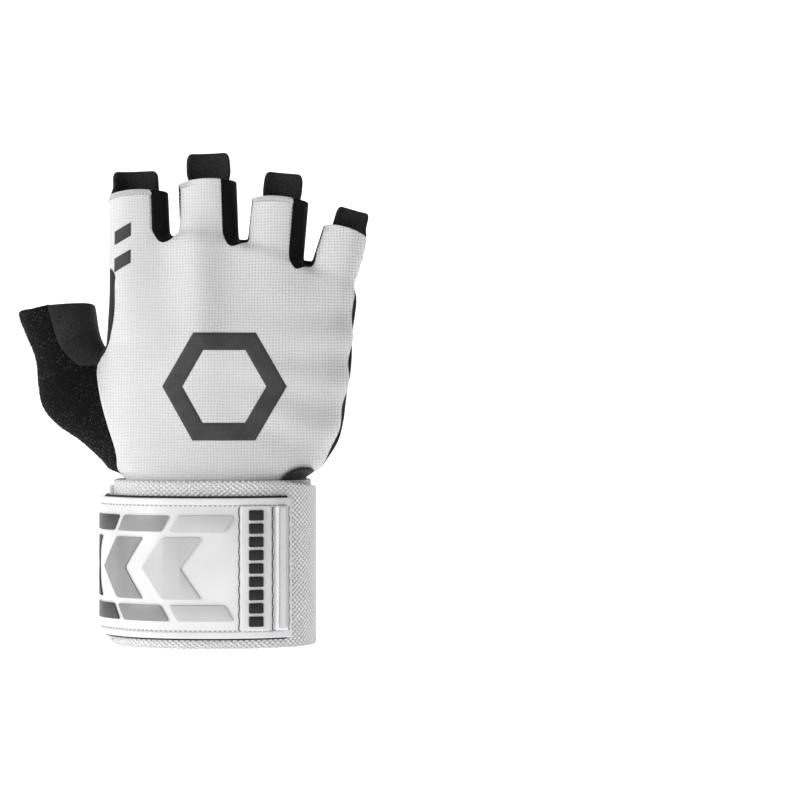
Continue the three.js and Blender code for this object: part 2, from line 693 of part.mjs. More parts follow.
const fullTurn = Math.PI * 2;
const angleOf = (p) => Math.atan2(-p.y, p.x);
function wristRun(from, to, cells) {
  const start = angleOf(from);
  const end = angleOf(to);
  const turn = start > end && end < 0 && start > 0 && from.x < 0 && to.x < 0 ? fullTurn : 0;
  return spread(cells).map((t) => sectionAt(mouth, mix(start, end + turn, t)));
}

// White cloth over the back of the hand
const backLeft = join(seamWristToWeb, seamWebToStrap, seamStrapToFinger);
const back = combSheet(backFingers, "back", wristRun, backLeft, seamLittleEdge);
addPiece("back_panel", thicken(back.sheet, MESH_CLOTH), colours.white, 0.85);

// Suede over the palm, the finger fronts and the pull tabs
function tabRows(i) {
  const f = fingers[i];
  const start = sideHem(f);
  const angles = palmAngles[i];
  const inset = { thumbSide: i === 0 ? TAB_INSET.index : 0, littleSide: i === 3 ? TAB_INSET.little : 0 };
  return spread(ROWS_TAB)
    .slice(1)
    .map((v) => {
      const corner = 1 - Math.sqrt(Math.max(1 - (Math.max(v - 0.7, 0) / 0.3) ** 2, 0));
      const narrow = TAB_NARROWING * v + 0.22 * corner;
      const ease = Math.min(v * 2.5, 1);
      return spread(CELLS_FINGER).map((u) => {
        const low = angles.thumbSide + inset.thumbSide * ease;
        const high = angles.littleSide - inset.littleSide * ease;
        const middle = (low + high) / 2;
        const angle = mix(middle, mix(low, high, u), 1 - narrow);
        return onFinger(f, start + f.tabLength * v, angle);
      });
    });
}
const palmLeft = join(seamPalmToThumb, seamCrotchToStrap, seamStrapToFinger);
const palm = combSheet(palmFingers, "palm", wristRun, palmLeft, seamLittleEdge, fingers.map((f, i) => tabRows(i)));
addPiece("palm_panel", thicken(palm.sheet, SUEDE), colours.suede, 0.95);

// Strips between the fingers, from the back seam to the palm seam
function fourchette(i) {
  const fingerGap = (side) => {
    const one = side.fingers[i].map((row) => row[CELLS_FINGER]).reverse();
    const other = side.fingers[i + 1].map((row) => row[0]);
    const first = side.comb.starts[i] + CELLS_FINGER + 1;
    return [...one, ...side.comb.crest.slice(first, side.comb.starts[i + 1]), ...other];
  };
  const backRun = fingerGap({ fingers: backFingers, comb: back });
  const palmRun = fingerGap({ fingers: palmFingers, comb: palm });
  const rows = backRun.map((start, k) =>
    spread(4).map((t) => {
      const p = start.clone().lerp(palmRun[k], t);
      if (t === 0 || t === 1) return p;
      const low = k > ROWS_FINGER && k < backRun.length - 1 - ROWS_FINGER;
      return settle(low ? p.add(v3(0, 0, WEB_ARCH * 4 * t * (1 - t))) : p);
    }),
  );
  return sheetOfRows(rows);
}
for (let i = 0; i < WEBS.length; i += 1) {
  const name = "fourchette_" + FINGERS[i].name + "_" + FINGERS[i + 1].name;
  addPiece(name, thicken(fourchette(i), GUSSET_CLOTH), colours.gusset, 0.9);
}

// Strip over the inside of the thumb and round its web, ending beside the index finger
const bluntEnd = (run) => [...run.slice(0, -1), run[run.length - 2].clone().lerp(run[run.length - 1], STRIP_END)];
const gussetBack = bluntEnd(join(reversed(seamThumbBack), seamWebToStrap));
const gussetFront = bluntEnd(join(reversed(seamThumbWeb), seamCrotchToStrap));
const gussetRows = gussetBack.map((from, r) => {
  const to = gussetFront[r];
  return spread(CELLS_GUSSET).map((u) => (u === 0 || u === 1 ? from.clone().lerp(to, u) : settle(from.clone().lerp(to, u))));
});
addPiece("thumb_gusset", thicken(sheetOfRows(gussetRows), GUSSET_CLOTH), colours.gusset, 0.9);

// Towelling over the back of the thumb, down to the wrap
const thumbHem = (from, to) => spread(CELLS_THUMB).map((t) => onThumb(1, mix(from, to, t)));
const towelRows = patchRows(
  wristRun(seamWristToWeb[0], seamThumbFront[0], CELLS_THUMB),
  thumbHem(THUMB_SEAM_BACK, THUMB_SEAM_FRONT),
  join(seamWristToWeb, seamThumbBack),
  seamThumbFront,
  layOnThumb(v3(-1, -0.2, 0)),
);
addPiece("thumb_back_panel", thicken(sheetOfRows(tucked(towelRows)), TOWELLING), colours.towelling, 1);

// Suede over the front of the thumb
const frontRows = patchRows(
  wristRun(seamThumbFront[0], seamPalmToThumb[0], CELLS_THUMB),
  thumbHem(THUMB_SEAM_FRONT, THUMB_SEAM_WEB + 360),
  seamThumbFront,
  join(seamPalmToThumb, seamThumbWeb),
  layOnThumb(v3(0, 0.6, 0)),
);
addPiece("thumb_palm_panel", thicken(sheetOfRows(tucked(frontRows)), SUEDE), colours.suede, 0.95);

// The wrist's outline at a distance outside it, at an angle from the little-finger side
function wristPoint(angle, offset, height) {
  const a = radians(angle);
  const power = 2 / ROUNDNESS;
  const shape = (c) => Math.sign(c) * Math.abs(c) ** power;
  const x = shape(Math.cos(a));
  const y = shape(Math.sin(a));
  const out = v3(
    (Math.sign(x) * Math.abs(x) ** (ROUNDNESS - 1)) / (WRIST_WIDTH / 2),
    (Math.sign(y) * Math.abs(y) ** (ROUNDNESS - 1)) / (WRIST_DEPTH / 2),
    0,
  ).normalize();
  return v3((x * WRIST_WIDTH) / 2, (y * WRIST_DEPTH) / 2, height).addScaledVector(out, offset);
}
const levelOut = (p) => {
  const x = (Math.sign(p.x) * Math.abs(p.x / WRIST_WIDTH) ** (ROUNDNESS - 1)) / WRIST_WIDTH;
  const y = (Math.sign(p.y) * Math.abs(p.y / WRIST_DEPTH) ** (ROUNDNESS - 1)) / WRIST_DEPTH;
  return v3(x, y, 0).normalize();
};

// Wrist wrap, wound from the inside out
const BAND_START = BAND_END - BAND_TURNS * 360;
const bandOffset = (angle) => LAY_GAP + ((BAND_CLOTH + LAY_GAP) * (angle - BAND_START)) / 360;
const bandDrop = (angle) => ramp(-70, 60, angle) - 0.5 * ramp(110, BAND_END, angle);
const bandColumns = Math.round((BAND_TURNS * 360) / WRAP_STEP);
const bandRows = spread(bandColumns, BAND_START, BAND_END).map((angle) => {
  const low = mix(BAND_FOOT, 0, bandDrop(angle));
  const high = RIM_HEIGHT - BAND_DROP * bandDrop(angle);
  return [low, high].map((height) => wristPoint(angle, bandOffset(angle) + BAND_CLOTH, height));
});
addPiece("wrist_wrap", thicken(sheetOfRows(bandRows), BAND_CLOTH, levelOut, 0), colours.knit, 0.95);

// Closure: places on it are given by the distance back from its square end and the height, and by the
// level above the wrap
const tapeBase = (angle) => {
  const onEnd = bandOffset(angle) + BAND_CLOTH + LAY_GAP;
  return onEnd - ramp(BAND_END + 8, BAND_END + 34, angle) * (BAND_CLOTH + LAY_GAP);
};
const track = spread(240, 100, 330).map((angle) => ({ angle, at: wristPoint(angle, tapeBase(angle) + TAPE_THICKNESS, 0) }));
const squareEnd = track.findIndex((step) => step.angle > 200 && step.at.x > CLOSURE_END);
const runLengths = track.map(() => 0);
for (let i = squareEnd - 1; i >= 0; i -= 1) {
  runLengths[i] = runLengths[i + 1] + track[i].at.distanceTo(track[i + 1].at);
}
function closureAngle(distance) {
  let i = squareEnd;
  while (i > 1 && runLengths[i - 1] < distance) i -= 1;
  const share = (distance - runLengths[i]) / (runLengths[i - 1] - runLengths[i]);
  return mix(track[i].angle, track[i - 1].angle, share);
}
const closureMiddle = CLOSURE_BASE + CLOSURE_HEIGHT / 2;
const onClosure = (distance, height, level) => {
  const angle = closureAngle(distance);
  return wristPoint(angle, tapeBase(angle) + level, height);
};
// A piece of the closure between two edges, each a distance that depends on the height
function closurePiece({ name, low, high, from, to, level, thickness, cells, rows, colour, roughness = 0.6 }) {
  const points = spread(rows, low, high).map((height) =>
    spread(cells).map((u) => onClosure(mix(from(height), to(height), u), height, level + thickness)),
  );
  addPiece(name, thicken(sheetOfRows(points), thickness, levelOut, 0), colour, roughness);
}
const patchTop = TAPE_THICKNESS + LAY_GAP + PATCH_THICKNESS;
const tapeEnd = PATCH_LENGTH + TAPE_LEAD;
closurePiece({
  name: "hook_tape",
  low: CLOSURE_BASE - TAPE_MARGIN,
  high: CLOSURE_BASE + CLOSURE_HEIGHT + TAPE_MARGIN,
  from: () => TAPE_MARGIN,
  to: () => tapeEnd,
  level: 0,
  thickness: TAPE_THICKNESS,
  cells: 34,
  rows: 1,
  colour: colours.tape,
  roughness: 1,
});
// The pointed end: length of the patch at a height
function pointedEnd(height, inset = 0) {
  const off = Math.abs(height - closureMiddle);
  const blunt = PATCH_TIP / 2 - inset * 0.4;
  const full = CLOSURE_HEIGHT / 2 - inset;
  const t = clamp((off - blunt) / (full - blunt), 0, 1);
  return PATCH_LENGTH - inset - PATCH_POINT * t ** 1.15;
}
const tipLevels = [0, 0.08, 0.2, 0.35, 0.5, 0.65, 0.8, 0.92, 1];
const closureLevels = tipLevels.map((share) => CLOSURE_BASE + CLOSURE_HEIGHT * share);
const patchPoints = closureLevels.map((height) =>
  spread(34).map((u) => onClosure(mix(0, pointedEnd(height), u), height, patchTop)),
);
addPiece("closure_patch", thicken(sheetOfRows(patchPoints), PATCH_THICKNESS, levelOut, 0), colours.rubber, 0.5);

const onPatch = patchTop + SEAT_GAP;
for (const row of CHEVRONS) {
  const half = CHEVRON_HALF * CLOSURE_HEIGHT;
  const edge = (share) => (height) =>
    share * PATCH_LENGTH - (CHEVRON_LEAN * PATCH_LENGTH * Math.abs(height - closureMiddle)) / half;
  closurePiece({
    name: "chevron_" + row.name,
    low: closureMiddle - half,
    high: closureMiddle + half,
    from: edge(row.notch),
    to: edge(row.tip),
    level: onPatch,
    thickness: INLAY_RISE,
    cells: 4,
    rows: 6,
    colour: row.colour,
  });
}
BARS.forEach((row, i) => {
  for (const side of [1, -1]) {
    const middle = closureMiddle + side * BAR_LEVEL * CLOSURE_HEIGHT;
    const half = BAR_HALF * CLOSURE_HEIGHT;
    const edge = (share) => (height) =>
      (share - (side * BAR_LEAN * (height - middle)) / (2 * half)) * PATCH_LENGTH;
    closurePiece({
      name: (side > 0 ? "bar_upper_" : "bar_lower_") + row.name,
      low: middle - half,
      high: middle + half,
      from: edge(row.from),
      to: edge(row.to),
      level: onPatch,
      thickness: INLAY_RISE,
      cells: 6,
      rows: 2,
      colour: CHEVRONS[i].colour,
    });
  }
});

// Raised plate with studs, and the rib at the square end
const straight = (distance) => () => distance;
closurePiece({
  name: "end_plate",
  low: CLOSURE_BASE + RIM_WIDTH,
  high: CLOSURE_BASE + CLOSURE_HEIGHT - RIM_WIDTH,
  from: straight(PLATE_FROM),
  to: straight(PLATE_FROM + PLATE_WIDTH),
  level: onPatch,
  thickness: PLATE_RISE,
  cells: 3,
  rows: 1,
  colour: colours.rubber,
  roughness: 0.5,
});
closurePiece({
  name: "end_rib",
  low: CLOSURE_BASE + RIM_WIDTH,
  high: CLOSURE_BASE + CLOSURE_HEIGHT - RIM_WIDTH,
  from: straight(RIB_FROM),
  to: straight(RIB_FROM + RIB_WIDTH),
  level: onPatch,
  thickness: RIB_RISE,
  cells: 2,
  rows: 1,
  colour: colours.rubber,
  roughness: 0.5,
});
const studPitch = (CLOSURE_HEIGHT - 2 * RIM_WIDTH) / (STUD_COUNT + 0.4);
for (let i = 0; i < STUD_COUNT; i += 1) {
  const middle = closureMiddle + (i - (STUD_COUNT - 1) / 2) * studPitch;
  const start = PLATE_FROM + (PLATE_WIDTH - STUD_LENGTH) / 2;
  closurePiece({
    name: "stud_" + (i + 1),
    low: middle - studPitch * STUD_SHARE * 0.5,
    high: middle + studPitch * STUD_SHARE * 0.5,
    from: straight(start),
    to: straight(start + STUD_LENGTH),
    level: onPatch + PLATE_RISE + SEAT_GAP,
    thickness: STUD_RISE,
    cells: 2,
    rows: 1,
    colour: colours.tape,
  });
}

// Half-round label on the glove, just above the wrap
const labelRows = spread(4).map((t) => {
  const rise = LABEL_RADIUS * Math.sin((t * Math.PI * 0.97) / 2);
  const half = Math.sqrt(LABEL_RADIUS ** 2 - rise ** 2) / (WRIST_DEPTH / 2);
  const middle = radians(LABEL_PLACE);
  return spread(4, middle + half, middle - half).map((angle) =>
    settle(sectionAt(mouth + rise, angle), LABEL_GAP + LABEL_THICKNESS),
  );
});
addPiece("side_label", thicken(sheetOfRows(labelRows), LABEL_THICKNESS, outward, 0), colours.label, 0.6);

export default glove;
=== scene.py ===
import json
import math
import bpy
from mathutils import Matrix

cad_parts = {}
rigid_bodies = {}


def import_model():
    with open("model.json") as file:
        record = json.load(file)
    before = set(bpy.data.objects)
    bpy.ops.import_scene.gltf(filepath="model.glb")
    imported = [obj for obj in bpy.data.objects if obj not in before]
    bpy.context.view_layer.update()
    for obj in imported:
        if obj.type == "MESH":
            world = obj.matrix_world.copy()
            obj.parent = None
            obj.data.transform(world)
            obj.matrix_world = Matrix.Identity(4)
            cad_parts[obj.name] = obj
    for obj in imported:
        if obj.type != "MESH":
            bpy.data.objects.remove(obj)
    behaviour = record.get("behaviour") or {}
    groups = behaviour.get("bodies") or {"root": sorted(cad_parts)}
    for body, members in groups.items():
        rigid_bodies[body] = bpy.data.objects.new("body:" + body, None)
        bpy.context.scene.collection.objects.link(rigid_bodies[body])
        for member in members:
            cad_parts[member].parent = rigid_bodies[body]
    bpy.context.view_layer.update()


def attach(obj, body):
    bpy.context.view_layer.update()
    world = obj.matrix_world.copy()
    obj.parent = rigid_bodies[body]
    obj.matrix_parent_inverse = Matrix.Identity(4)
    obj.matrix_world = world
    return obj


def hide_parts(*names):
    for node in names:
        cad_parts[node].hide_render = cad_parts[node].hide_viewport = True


bl_info = {
    "name": "Weightlifting glove",
    "version": (1, 0, 0),
    "blender": (4, 5, 0),
    "location": "View3D > Sidebar > Glove",
    "description": "Dresses a half-finger weightlifting glove in cloth, suede, knit and moulded rubber",
    "category": "Object",
}

import bpy
import numpy as np
from bpy.props import FloatProperty, FloatVectorProperty, IntProperty, PointerProperty
from mathutils.bvhtree import BVHTree

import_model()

MM = 0.001
BODY = "root"

# Main sizes of the hand that fills the glove, in millimetres, over the cloth. Z points to the fingertips,
# -Y out of the back of the hand and -X to the thumb.
RIM_HEIGHT = 66.0
RIM_LAP = 1.6
LAY_GAP = 0.3
PALM_LENGTH = 98.0
PALM_WIDTH = 98.0
PALM_DEPTH = 32.0
WRIST_WIDTH = 71.0
WRIST_DEPTH = 49.0
FINGER_WIDTH = 23.5
FINGER_DEPTH = 19.5
FINGER_LENGTH = 39.0
TAB_LENGTH = 12.5
THUMB_REACH = 65.0
THUMB_RISE = 69.5
THUMB_WIDTH = 26.5
TUCK = 9.0
MOUTH = RIM_HEIGHT + LAY_GAP

# How smoothly the parts of the hand run into each other
WEB_BLEND = 5.0
FINGER_BLEND = 2.0
THUMB_BLEND = 11.0
JOINT_BLEND = 14.0
THUMB_CUT = 3.0
THUMB_LAP = 4.0
CROWN_BLEND = 6.0
ROUNDNESS = 2.35
THUMB_BULGE = 0.36

# The hand in level sections: rise as a share of PALM_LENGTH above the wrap, thumb side and little-finger
# side as shares of PALM_WIDTH from the wrist's axis, back and palm as shares of PALM_DEPTH
PALM_SECTIONS = (
    (0.06, 0.402, 0.432, 0.74, 0.78),
    (0.12, 0.408, 0.472, 0.71, 0.77),
    (0.2, 0.416, 0.51, 0.66, 0.74),
    (0.36, 0.43, 0.542, 0.6, 0.66),
    (0.505, 0.436, 0.556, 0.55, 0.6),
    (0.648, 0.428, 0.568, 0.47, 0.52),
    (0.777, 0.416, 0.58, 0.4, 0.44),
    (0.9, 0.41, 0.595, 0.33, 0.36),
    (1.05, 0.4, 0.6, 0.29, 0.31),
)

# Index, middle, ring and little finger: place across as a share of PALM_WIDTH, lean in degrees, then width,
# depth, length and tab as shares of the sizes above, and taper
FINGERS = (
    (-0.296, -2.2, 1.03, 1.0, 0.885, 0.86, 0.022),
    (-0.012, -2.4, 0.99, 1.02, 0.995, 1.1, 0.0),
    (0.242, 5.2, 0.985, 0.98, 0.82, 1.02, 0.02),
    (0.482, 16.0, 0.8, 0.86, 0.52, 0.84, 0.07),
)
KNUCKLE_RISE = 0.842
FINGER_ROOT = 24.0
FINGER_CURL = 0.06

# Dips of the seams round the webs, seen from the back and from the palm: across, rise
WEBS_BACK = (
    ((-0.207, 0.98), (-0.168, 0.99)),
    ((0.069, 0.962), (0.103, 0.969)),
    ((0.335, 0.866), (0.365, 0.876)),
)
WEBS_PALM = (((-0.161, 0.962),), ((0.114, 0.948),), ((0.375, 0.87),))
CROWN = ((-0.43, 0.93), (-0.16, 1.002), (0.11, 0.976), (0.37, 0.886), (0.62, 0.76))
WEB_START = 0.045
WEB_ARCH = 4.0

# Seams along each finger in degrees round its axis: 0 is the little-finger side, 90 the back. The pull tabs'
# edges lie further round than the palm's seams by TAB_EDGES.
SEAM_BACK = (160.0, 56.0)
SEAM_PALM = (225.0, 315.0)
SEAM_INDEX_EDGE = 184.0
SEAM_LITTLE_EDGE = -3.0
HEM_CROWN = 0.055
TAB_NARROWING = 0.03
TAB_EDGES = ((16.0, 0.0), (-9.0, 9.0), (-4.0, 4.0), (0.0, -26.0))

# The thumb's axis: out, up, forward and radius as shares of THUMB_REACH, THUMB_RISE, PALM_DEPTH and
# THUMB_WIDTH
THUMB = (
    (0.47, 0.25, 0.24, 0.62),
    (0.84, 0.53, 0.31, 0.53),
    (0.985, 1.0, 0.28, 0.485),
    (1.06, 1.22, 0.27, 0.465),
)
THUMB_OPENING = 0.975
THUMB_HEM_TILT = 0.06
THUMB_HEM_CROWN = 0.08
THUMB_SEAM_BACK = 96.0
THUMB_SEAM_WEB = -8.0
THUMB_SEAM_FRONT = 240.0
EDGE_BY_THUMB = (
    (-0.355, 0.021),
    (-0.388, 0.1),
    (-0.427, 0.235),
    (-0.456, 0.34),
    (-0.474, 0.44),
    (-0.474, 0.482),
)
EDGE_BY_WEB = ((-0.456, 0.52), (-0.423, 0.58), (-0.4, 0.69), (-0.397, 0.8), (-0.398, 0.855))
THUMB_UNDER_WEB = ((-0.577, 0.505), (-0.525, 0.472))
STRIP_END = 0.8
THUMB_WEB = (-0.449, 0.528)
THUMB_LINE = (
    (-0.315, 0.021),
    (-0.29, 0.09),
    (-0.263, 0.205),
    (-0.258, 0.32),
    (-0.285, 0.43),
    (-0.352, 0.505),
)
FRONT_LINE = ((-0.345, 0.021), (-0.385, 0.06))

# Wrist wrap, wound from the inside out
BAND_FOOT = 0.6
BAND_CLOTH = 1.8
BAND_TURNS = 2.04
BAND_END = 180.0
BAND_DROP = 5.0

# Closure: hook tape and moulded patch, with its inlays, plate, studs and rib
CLOSURE_HEIGHT = 54.4
CLOSURE_BASE = 5.0
CLOSURE_END = 31.2
TAPE_THICKNESS = 1.0
TAPE_MARGIN = 0.8
TAPE_LEAD = 12.6
PATCH_THICKNESS = 1.4
PATCH_LENGTH = 122.0
PATCH_POINT = 15.0
PATCH_TIP = 16.5
RIM_WIDTH = 3.0
SEAT_GAP = 0.2
INLAY_RISE = 0.5
PLATE_FROM = 9.0
PLATE_WIDTH = 11.5
PLATE_RISE = 0.8
RIB_FROM = 2.2
RIB_WIDTH = 5.0
RIB_RISE = 1.8
STUD_COUNT = 9
STUD_LENGTH = 5.4
STUD_SHARE = 0.78
STUD_RISE = 0.6

# Chevrons: tip and notch as shares of PATCH_LENGTH. Bars: start and end.
CHEVRONS = (("light", 0.481, 0.357), ("middle", 0.65, 0.546), ("dark", 0.857, 0.734))
CHEVRON_HALF = 0.22
CHEVRON_LEAN = 0.067
BARS = (("light", 0.202, 0.378), ("middle", 0.404, 0.563), ("dark", 0.584, 0.757))
BAR_LEVEL = 0.32
BAR_HALF = 0.057
BAR_LEAN = 0.028

# Half-round label on the glove, just above the wrap
LABEL_RADIUS = 5.0
LABEL_PLACE = 22.0
LABEL_THICKNESS = 0.9
LABEL_GAP = 1.4

# Quilting on the palm, as shares of PALM_WIDTH across and of PALM_LENGTH up
QUILTING = (
    ((0.576, 0.831), (0.376, 0.893), (0.151, 0.894), (-0.12, 0.903), (-0.395, 0.904)),
    ((0.576, 0.81), (0.4, 0.819), (0.107, 0.78), (-0.175, 0.733), (-0.405, 0.684)),
    ((-0.395, 0.873), (-0.176, 0.836), (0.107, 0.778), (0.368, 0.711), (0.48, 0.663), (0.545, 0.615)),
    ((0.545, 0.615), (0.401, 0.643), (0.154, 0.665), (-0.117, 0.678), (-0.405, 0.682)),
    ((0.52, 0.374), (0.335, 0.388), (0.111, 0.404), (-0.092, 0.43), (-0.268, 0.447)),
    ((-0.268, 0.444), (-0.091, 0.368), (0.112, 0.262), (0.225, 0.192), (0.412, 0.059)),
    ((0.505, 0.335), (0.446, 0.283), (0.302, 0.222), (0.112, 0.181), (-0.089, 0.134), (-0.27, 0.096)),
)
THUMB_SEAM = (
    (-0.405, 0.617),
    (-0.338, 0.546),
    (-0.272, 0.442),
    (-0.24, 0.318),
    (-0.24, 0.206),
    (-0.262, 0.094),
    (-0.29, 0.04),
)
THUMB_ROWS = (
    ((-0.356, 0.154), (-0.581, 0.415), (-0.603, 0.434), (-0.609, 0.395)),
    ((-0.379, 0.164), (-0.596, 0.413)),
)
HOLES = (
    (0.489, 0.49), (0.441, 0.444), (0.385, 0.487), (0.318, 0.5), (0.318, 0.438), (0.251, 0.492),
    (0.195, 0.441), (0.124, 0.511), (0.054, 0.576), (-0.002, 0.52), (-0.068, 0.586), (-0.113, 0.531),
    (-0.185, 0.5), (0.297, 1.136), (0.257, 1.084), (0.301, 1.035), (0.293, 0.949), (-0.021, 1.099),
    (-0.071, 1.167), (-0.064, 1.043), (0.607, 0.951), (-0.273, 1.144),
)

# Prints, in the same shares: a plain six-sided ring and two bars on the back, a chevron on the middle tab
RING_CENTRE = (0.055, 0.392)
RING_OUTER = 0.25
RING_INNER = 0.168
BARS_BACK = (
    ((-0.398, 0.855), (-0.33, 0.893), (-0.33, 0.948), (-0.398, 0.91)),
    ((-0.398, 0.965), (-0.33, 1.003), (-0.33, 1.058), (-0.398, 1.02)),
)
CHEVRON_TAB = (
    ((-0.065, 1.255), (-0.01, 1.305), (-0.01, 1.335), (-0.065, 1.285)),
    ((-0.01, 1.305), (0.045, 1.255), (0.045, 1.285), (-0.01, 1.335)),
)

# Depths of inlays and edges of the moulded pieces: how far each is sunk, rounded and cornered
INLAY_SINK = 0.15
INLAY_EDGE = 0.2
CHEVRON_CORNER = 0.8
BAR_CORNER = 0.9
PLATE_SINK = 0.3

# Weaves, in millimetres from thread to thread: across and up
MESH_WEAVE = (1.2, 1.15)
KNIT_WEAVE = (2.3, 1.9)

# Stage in metres: the floor runs level, turns up behind the glove and goes on as a wall
FLOOR_FRONT = -3.0
FLOOR_BACK = 0.9
FLOOR_BEND = 0.5
FLOOR_HALF_WIDTH = 4.0
WALL_TOP = 3.0
FLOOR_GLOW = 0.72
SKY_GLOW = 0.14
AIMED_AT = (0.0, 0.0, 0.09)
SENSOR = 36

# Area lights: place, size in metres and power in watts
LIGHTS = (
    ("key_light", (-1.5, -1.0, 0.7), 0.9, 18.0),
    ("fill_light", (0.3, -1.5, 0.5), 1.2, 0.4),
    ("top_light", (0.0, -0.2, 1.6), 1.2, 1.5),
)

# Rings of a stitch: place along it as a share of its length, and size as a share of its width
SEGMENTS = 6
CAPSULE_RINGS = ((-0.5, 0.35), (-0.38, 0.85), (0.0, 1.0), (0.38, 0.85), (0.5, 0.35))

# The round edge of a wall, from its outer face to its inner one
RIM_ANGLES = np.radians((45.0, 0.0, -45.0))

# Search for the hand's surface
SETTLE_ROUNDS = 14
CLOSE_ENOUGH = 1e-3
RAY_STEPS = 90
RAY_HALVINGS = 16
VIEW_FROM = 45.0
VIEW_STEPS = 160

# Cells of the cloth meshes
CELLS_LOWER = 42
CELLS_WEB_STRIP = 36
CELLS_KNUCKLE = 18
CELLS_THUMB_SIDE = 36
CELLS_THUMB = 42
ROWS_PALM = CELLS_LOWER + CELLS_WEB_STRIP + CELLS_KNUCKLE
ROWS_FINGER = 28
ROWS_TAB = 14
CELLS_FINGER = 24
CELLS_WEB = 18
CELLS_GUSSET = 26


def mix(a, b, t):
    """From a to b as t goes from 0 to 1."""
    return a + (b - a) * t


def ramp(low, high, at):
    """A smooth rise from 0 to 1 between two places."""
    t = np.clip((at - low) / (high - low), 0, 1)
    return t * t * (3 - 2 * t)


def smooth_min(a, b, k):
    """The smaller of two distances, blended over a width k where they are close."""
    h = np.maximum(k - np.abs(a - b), 0) / k
    return np.minimum(a, b) - h * h * h * k / 6


def smooth_max(a, b, k):
    return -smooth_min(-a, -b, k)


def at_rise(rise):
    """The height of a share of PALM_LENGTH above the wrap."""
    return RIM_HEIGHT - RIM_LAP + rise * PALM_LENGTH


def curve_through(rows):
    """A smooth curve through a table's rows, read at a place in their first column."""
    table = np.array(rows, float)
    stops, values = table[:, 0], table[:, 1:]
    order = np.arange(len(stops))
    before, after = np.maximum(order - 1, 0), np.minimum(order + 1, len(stops) - 1)
    slope = (values[after] - values[before]) / (stops[after] - stops[before])[:, None]

    def read(at):
        x = np.clip(np.atleast_1d(at), stops[0], stops[-1])
        i = np.clip(np.searchsorted(stops, x, side="left") - 1, 0, len(stops) - 2)
        step = (stops[i + 1] - stops[i])[:, None]
        t = ((x - stops[i]) / step[:, 0])[:, None]
        start = values[i] * (1 + 2 * t) * (1 - t) ** 2 + slope[i] * step * t * (1 - t) ** 2
        end = values[i + 1] * t * t * (3 - 2 * t) - slope[i + 1] * step * t * t * (1 - t)
        return start + end

    return read


wrist_section = (WRIST_WIDTH / 2, WRIST_WIDTH / 2, WRIST_DEPTH / 2, WRIST_DEPTH / 2)
sections = curve_through(
    [(0, *wrist_section), (MOUTH, *wrist_section)]
    + [
        (at_rise(rise), left * PALM_WIDTH, right * PALM_WIDTH, back * PALM_DEPTH, palm * PALM_DEPTH)
        for rise, left, right, back, palm in PALM_SECTIONS
    ]
)
crown_at = curve_through([(across * PALM_WIDTH, at_rise(crown)) for across, crown in CROWN])


def oval_distance(x, y, a, b):
    u, v = np.abs(x) / a, np.abs(y) / b
    r = np.maximum((u**ROUNDNESS + v**ROUNDNESS) ** (1 / ROUNDNESS), 1e-9)
    steepness = np.hypot((u / r) ** (ROUNDNESS - 1) / a, (v / r) ** (ROUNDNESS - 1) / b)
    return (r - 1) / np.maximum(steepness, 1e-9)


def palm_field(p):
    """Distance to the palm without fingers and thumb, below 0 inside."""
    left, right, back, palm = sections(p[:, 2]).T
    middle = (right - left) / 2
    depth = np.where(p[:, 1] < 0, back, palm)
    side = oval_distance(p[:, 0] - middle, p[:, 1], (left + right) / 2, depth)
    return smooth_max(side, p[:, 2] - crown_at(p[:, 0])[:, 0], CROWN_BLEND)


class Finger:
    """One finger of the glove: where it stands, how it leans and how far its cloth reaches."""

    def __init__(self, across, lean, width, depth, length, tab, taper):
        angle = math.radians(lean)
        self.root = np.array((across * PALM_WIDTH, 0, at_rise(KNUCKLE_RISE)))
        self.along = np.array((math.sin(angle), 0, math.cos(angle)))
        self.aside = np.array((math.cos(angle), 0, -math.sin(angle)))
        self.half_width = width * FINGER_WIDTH / 2
        self.half_depth = depth * FINGER_DEPTH / 2
        self.hem = length * FINGER_LENGTH
        self.side_hem = self.hem - HEM_CROWN * FINGER_LENGTH
        self.tab = tab * TAB_LENGTH
        self.taper = taper

    def centre(self, s):
        s = np.asarray(s)[..., None]
        return self.root + self.along * s + np.array((0, FINGER_CURL, 0)) * s

    def field(self, p):
        d = p - self.root
        s = d @ self.along
        width = self.half_width * np.clip(1 - self.taper * s / FINGER_ROOT, 0.8, 1.2)
        side = oval_distance(d @ self.aside, p[:, 1] - FINGER_CURL * s, width, self.half_depth)
        return smooth_max(side, -FINGER_ROOT - s, WEB_BLEND)

    def station(self, height):
        return (height - self.root[2]) / self.along[2]

    def at(self, s, angle):
        """Points on the finger at distances along it and angles round it."""
        a = np.radians(angle)
        way = self.aside * np.cos(a)[..., None] - np.array((0, 1, 0)) * np.sin(a)[..., None]
        shape = way.shape
        return leaves(self.centre(s).reshape(-1, 3), way.reshape(-1, 3)).reshape(shape)


fingers = [Finger(*row) for row in FINGERS]
thumb_stations = [
    (
        np.array((-out * THUMB_REACH, forward * PALM_DEPTH, RIM_HEIGHT + up * THUMB_RISE - RIM_LAP)),
        radius * THUMB_WIDTH,
    )
    for out, up, forward, radius in THUMB
]


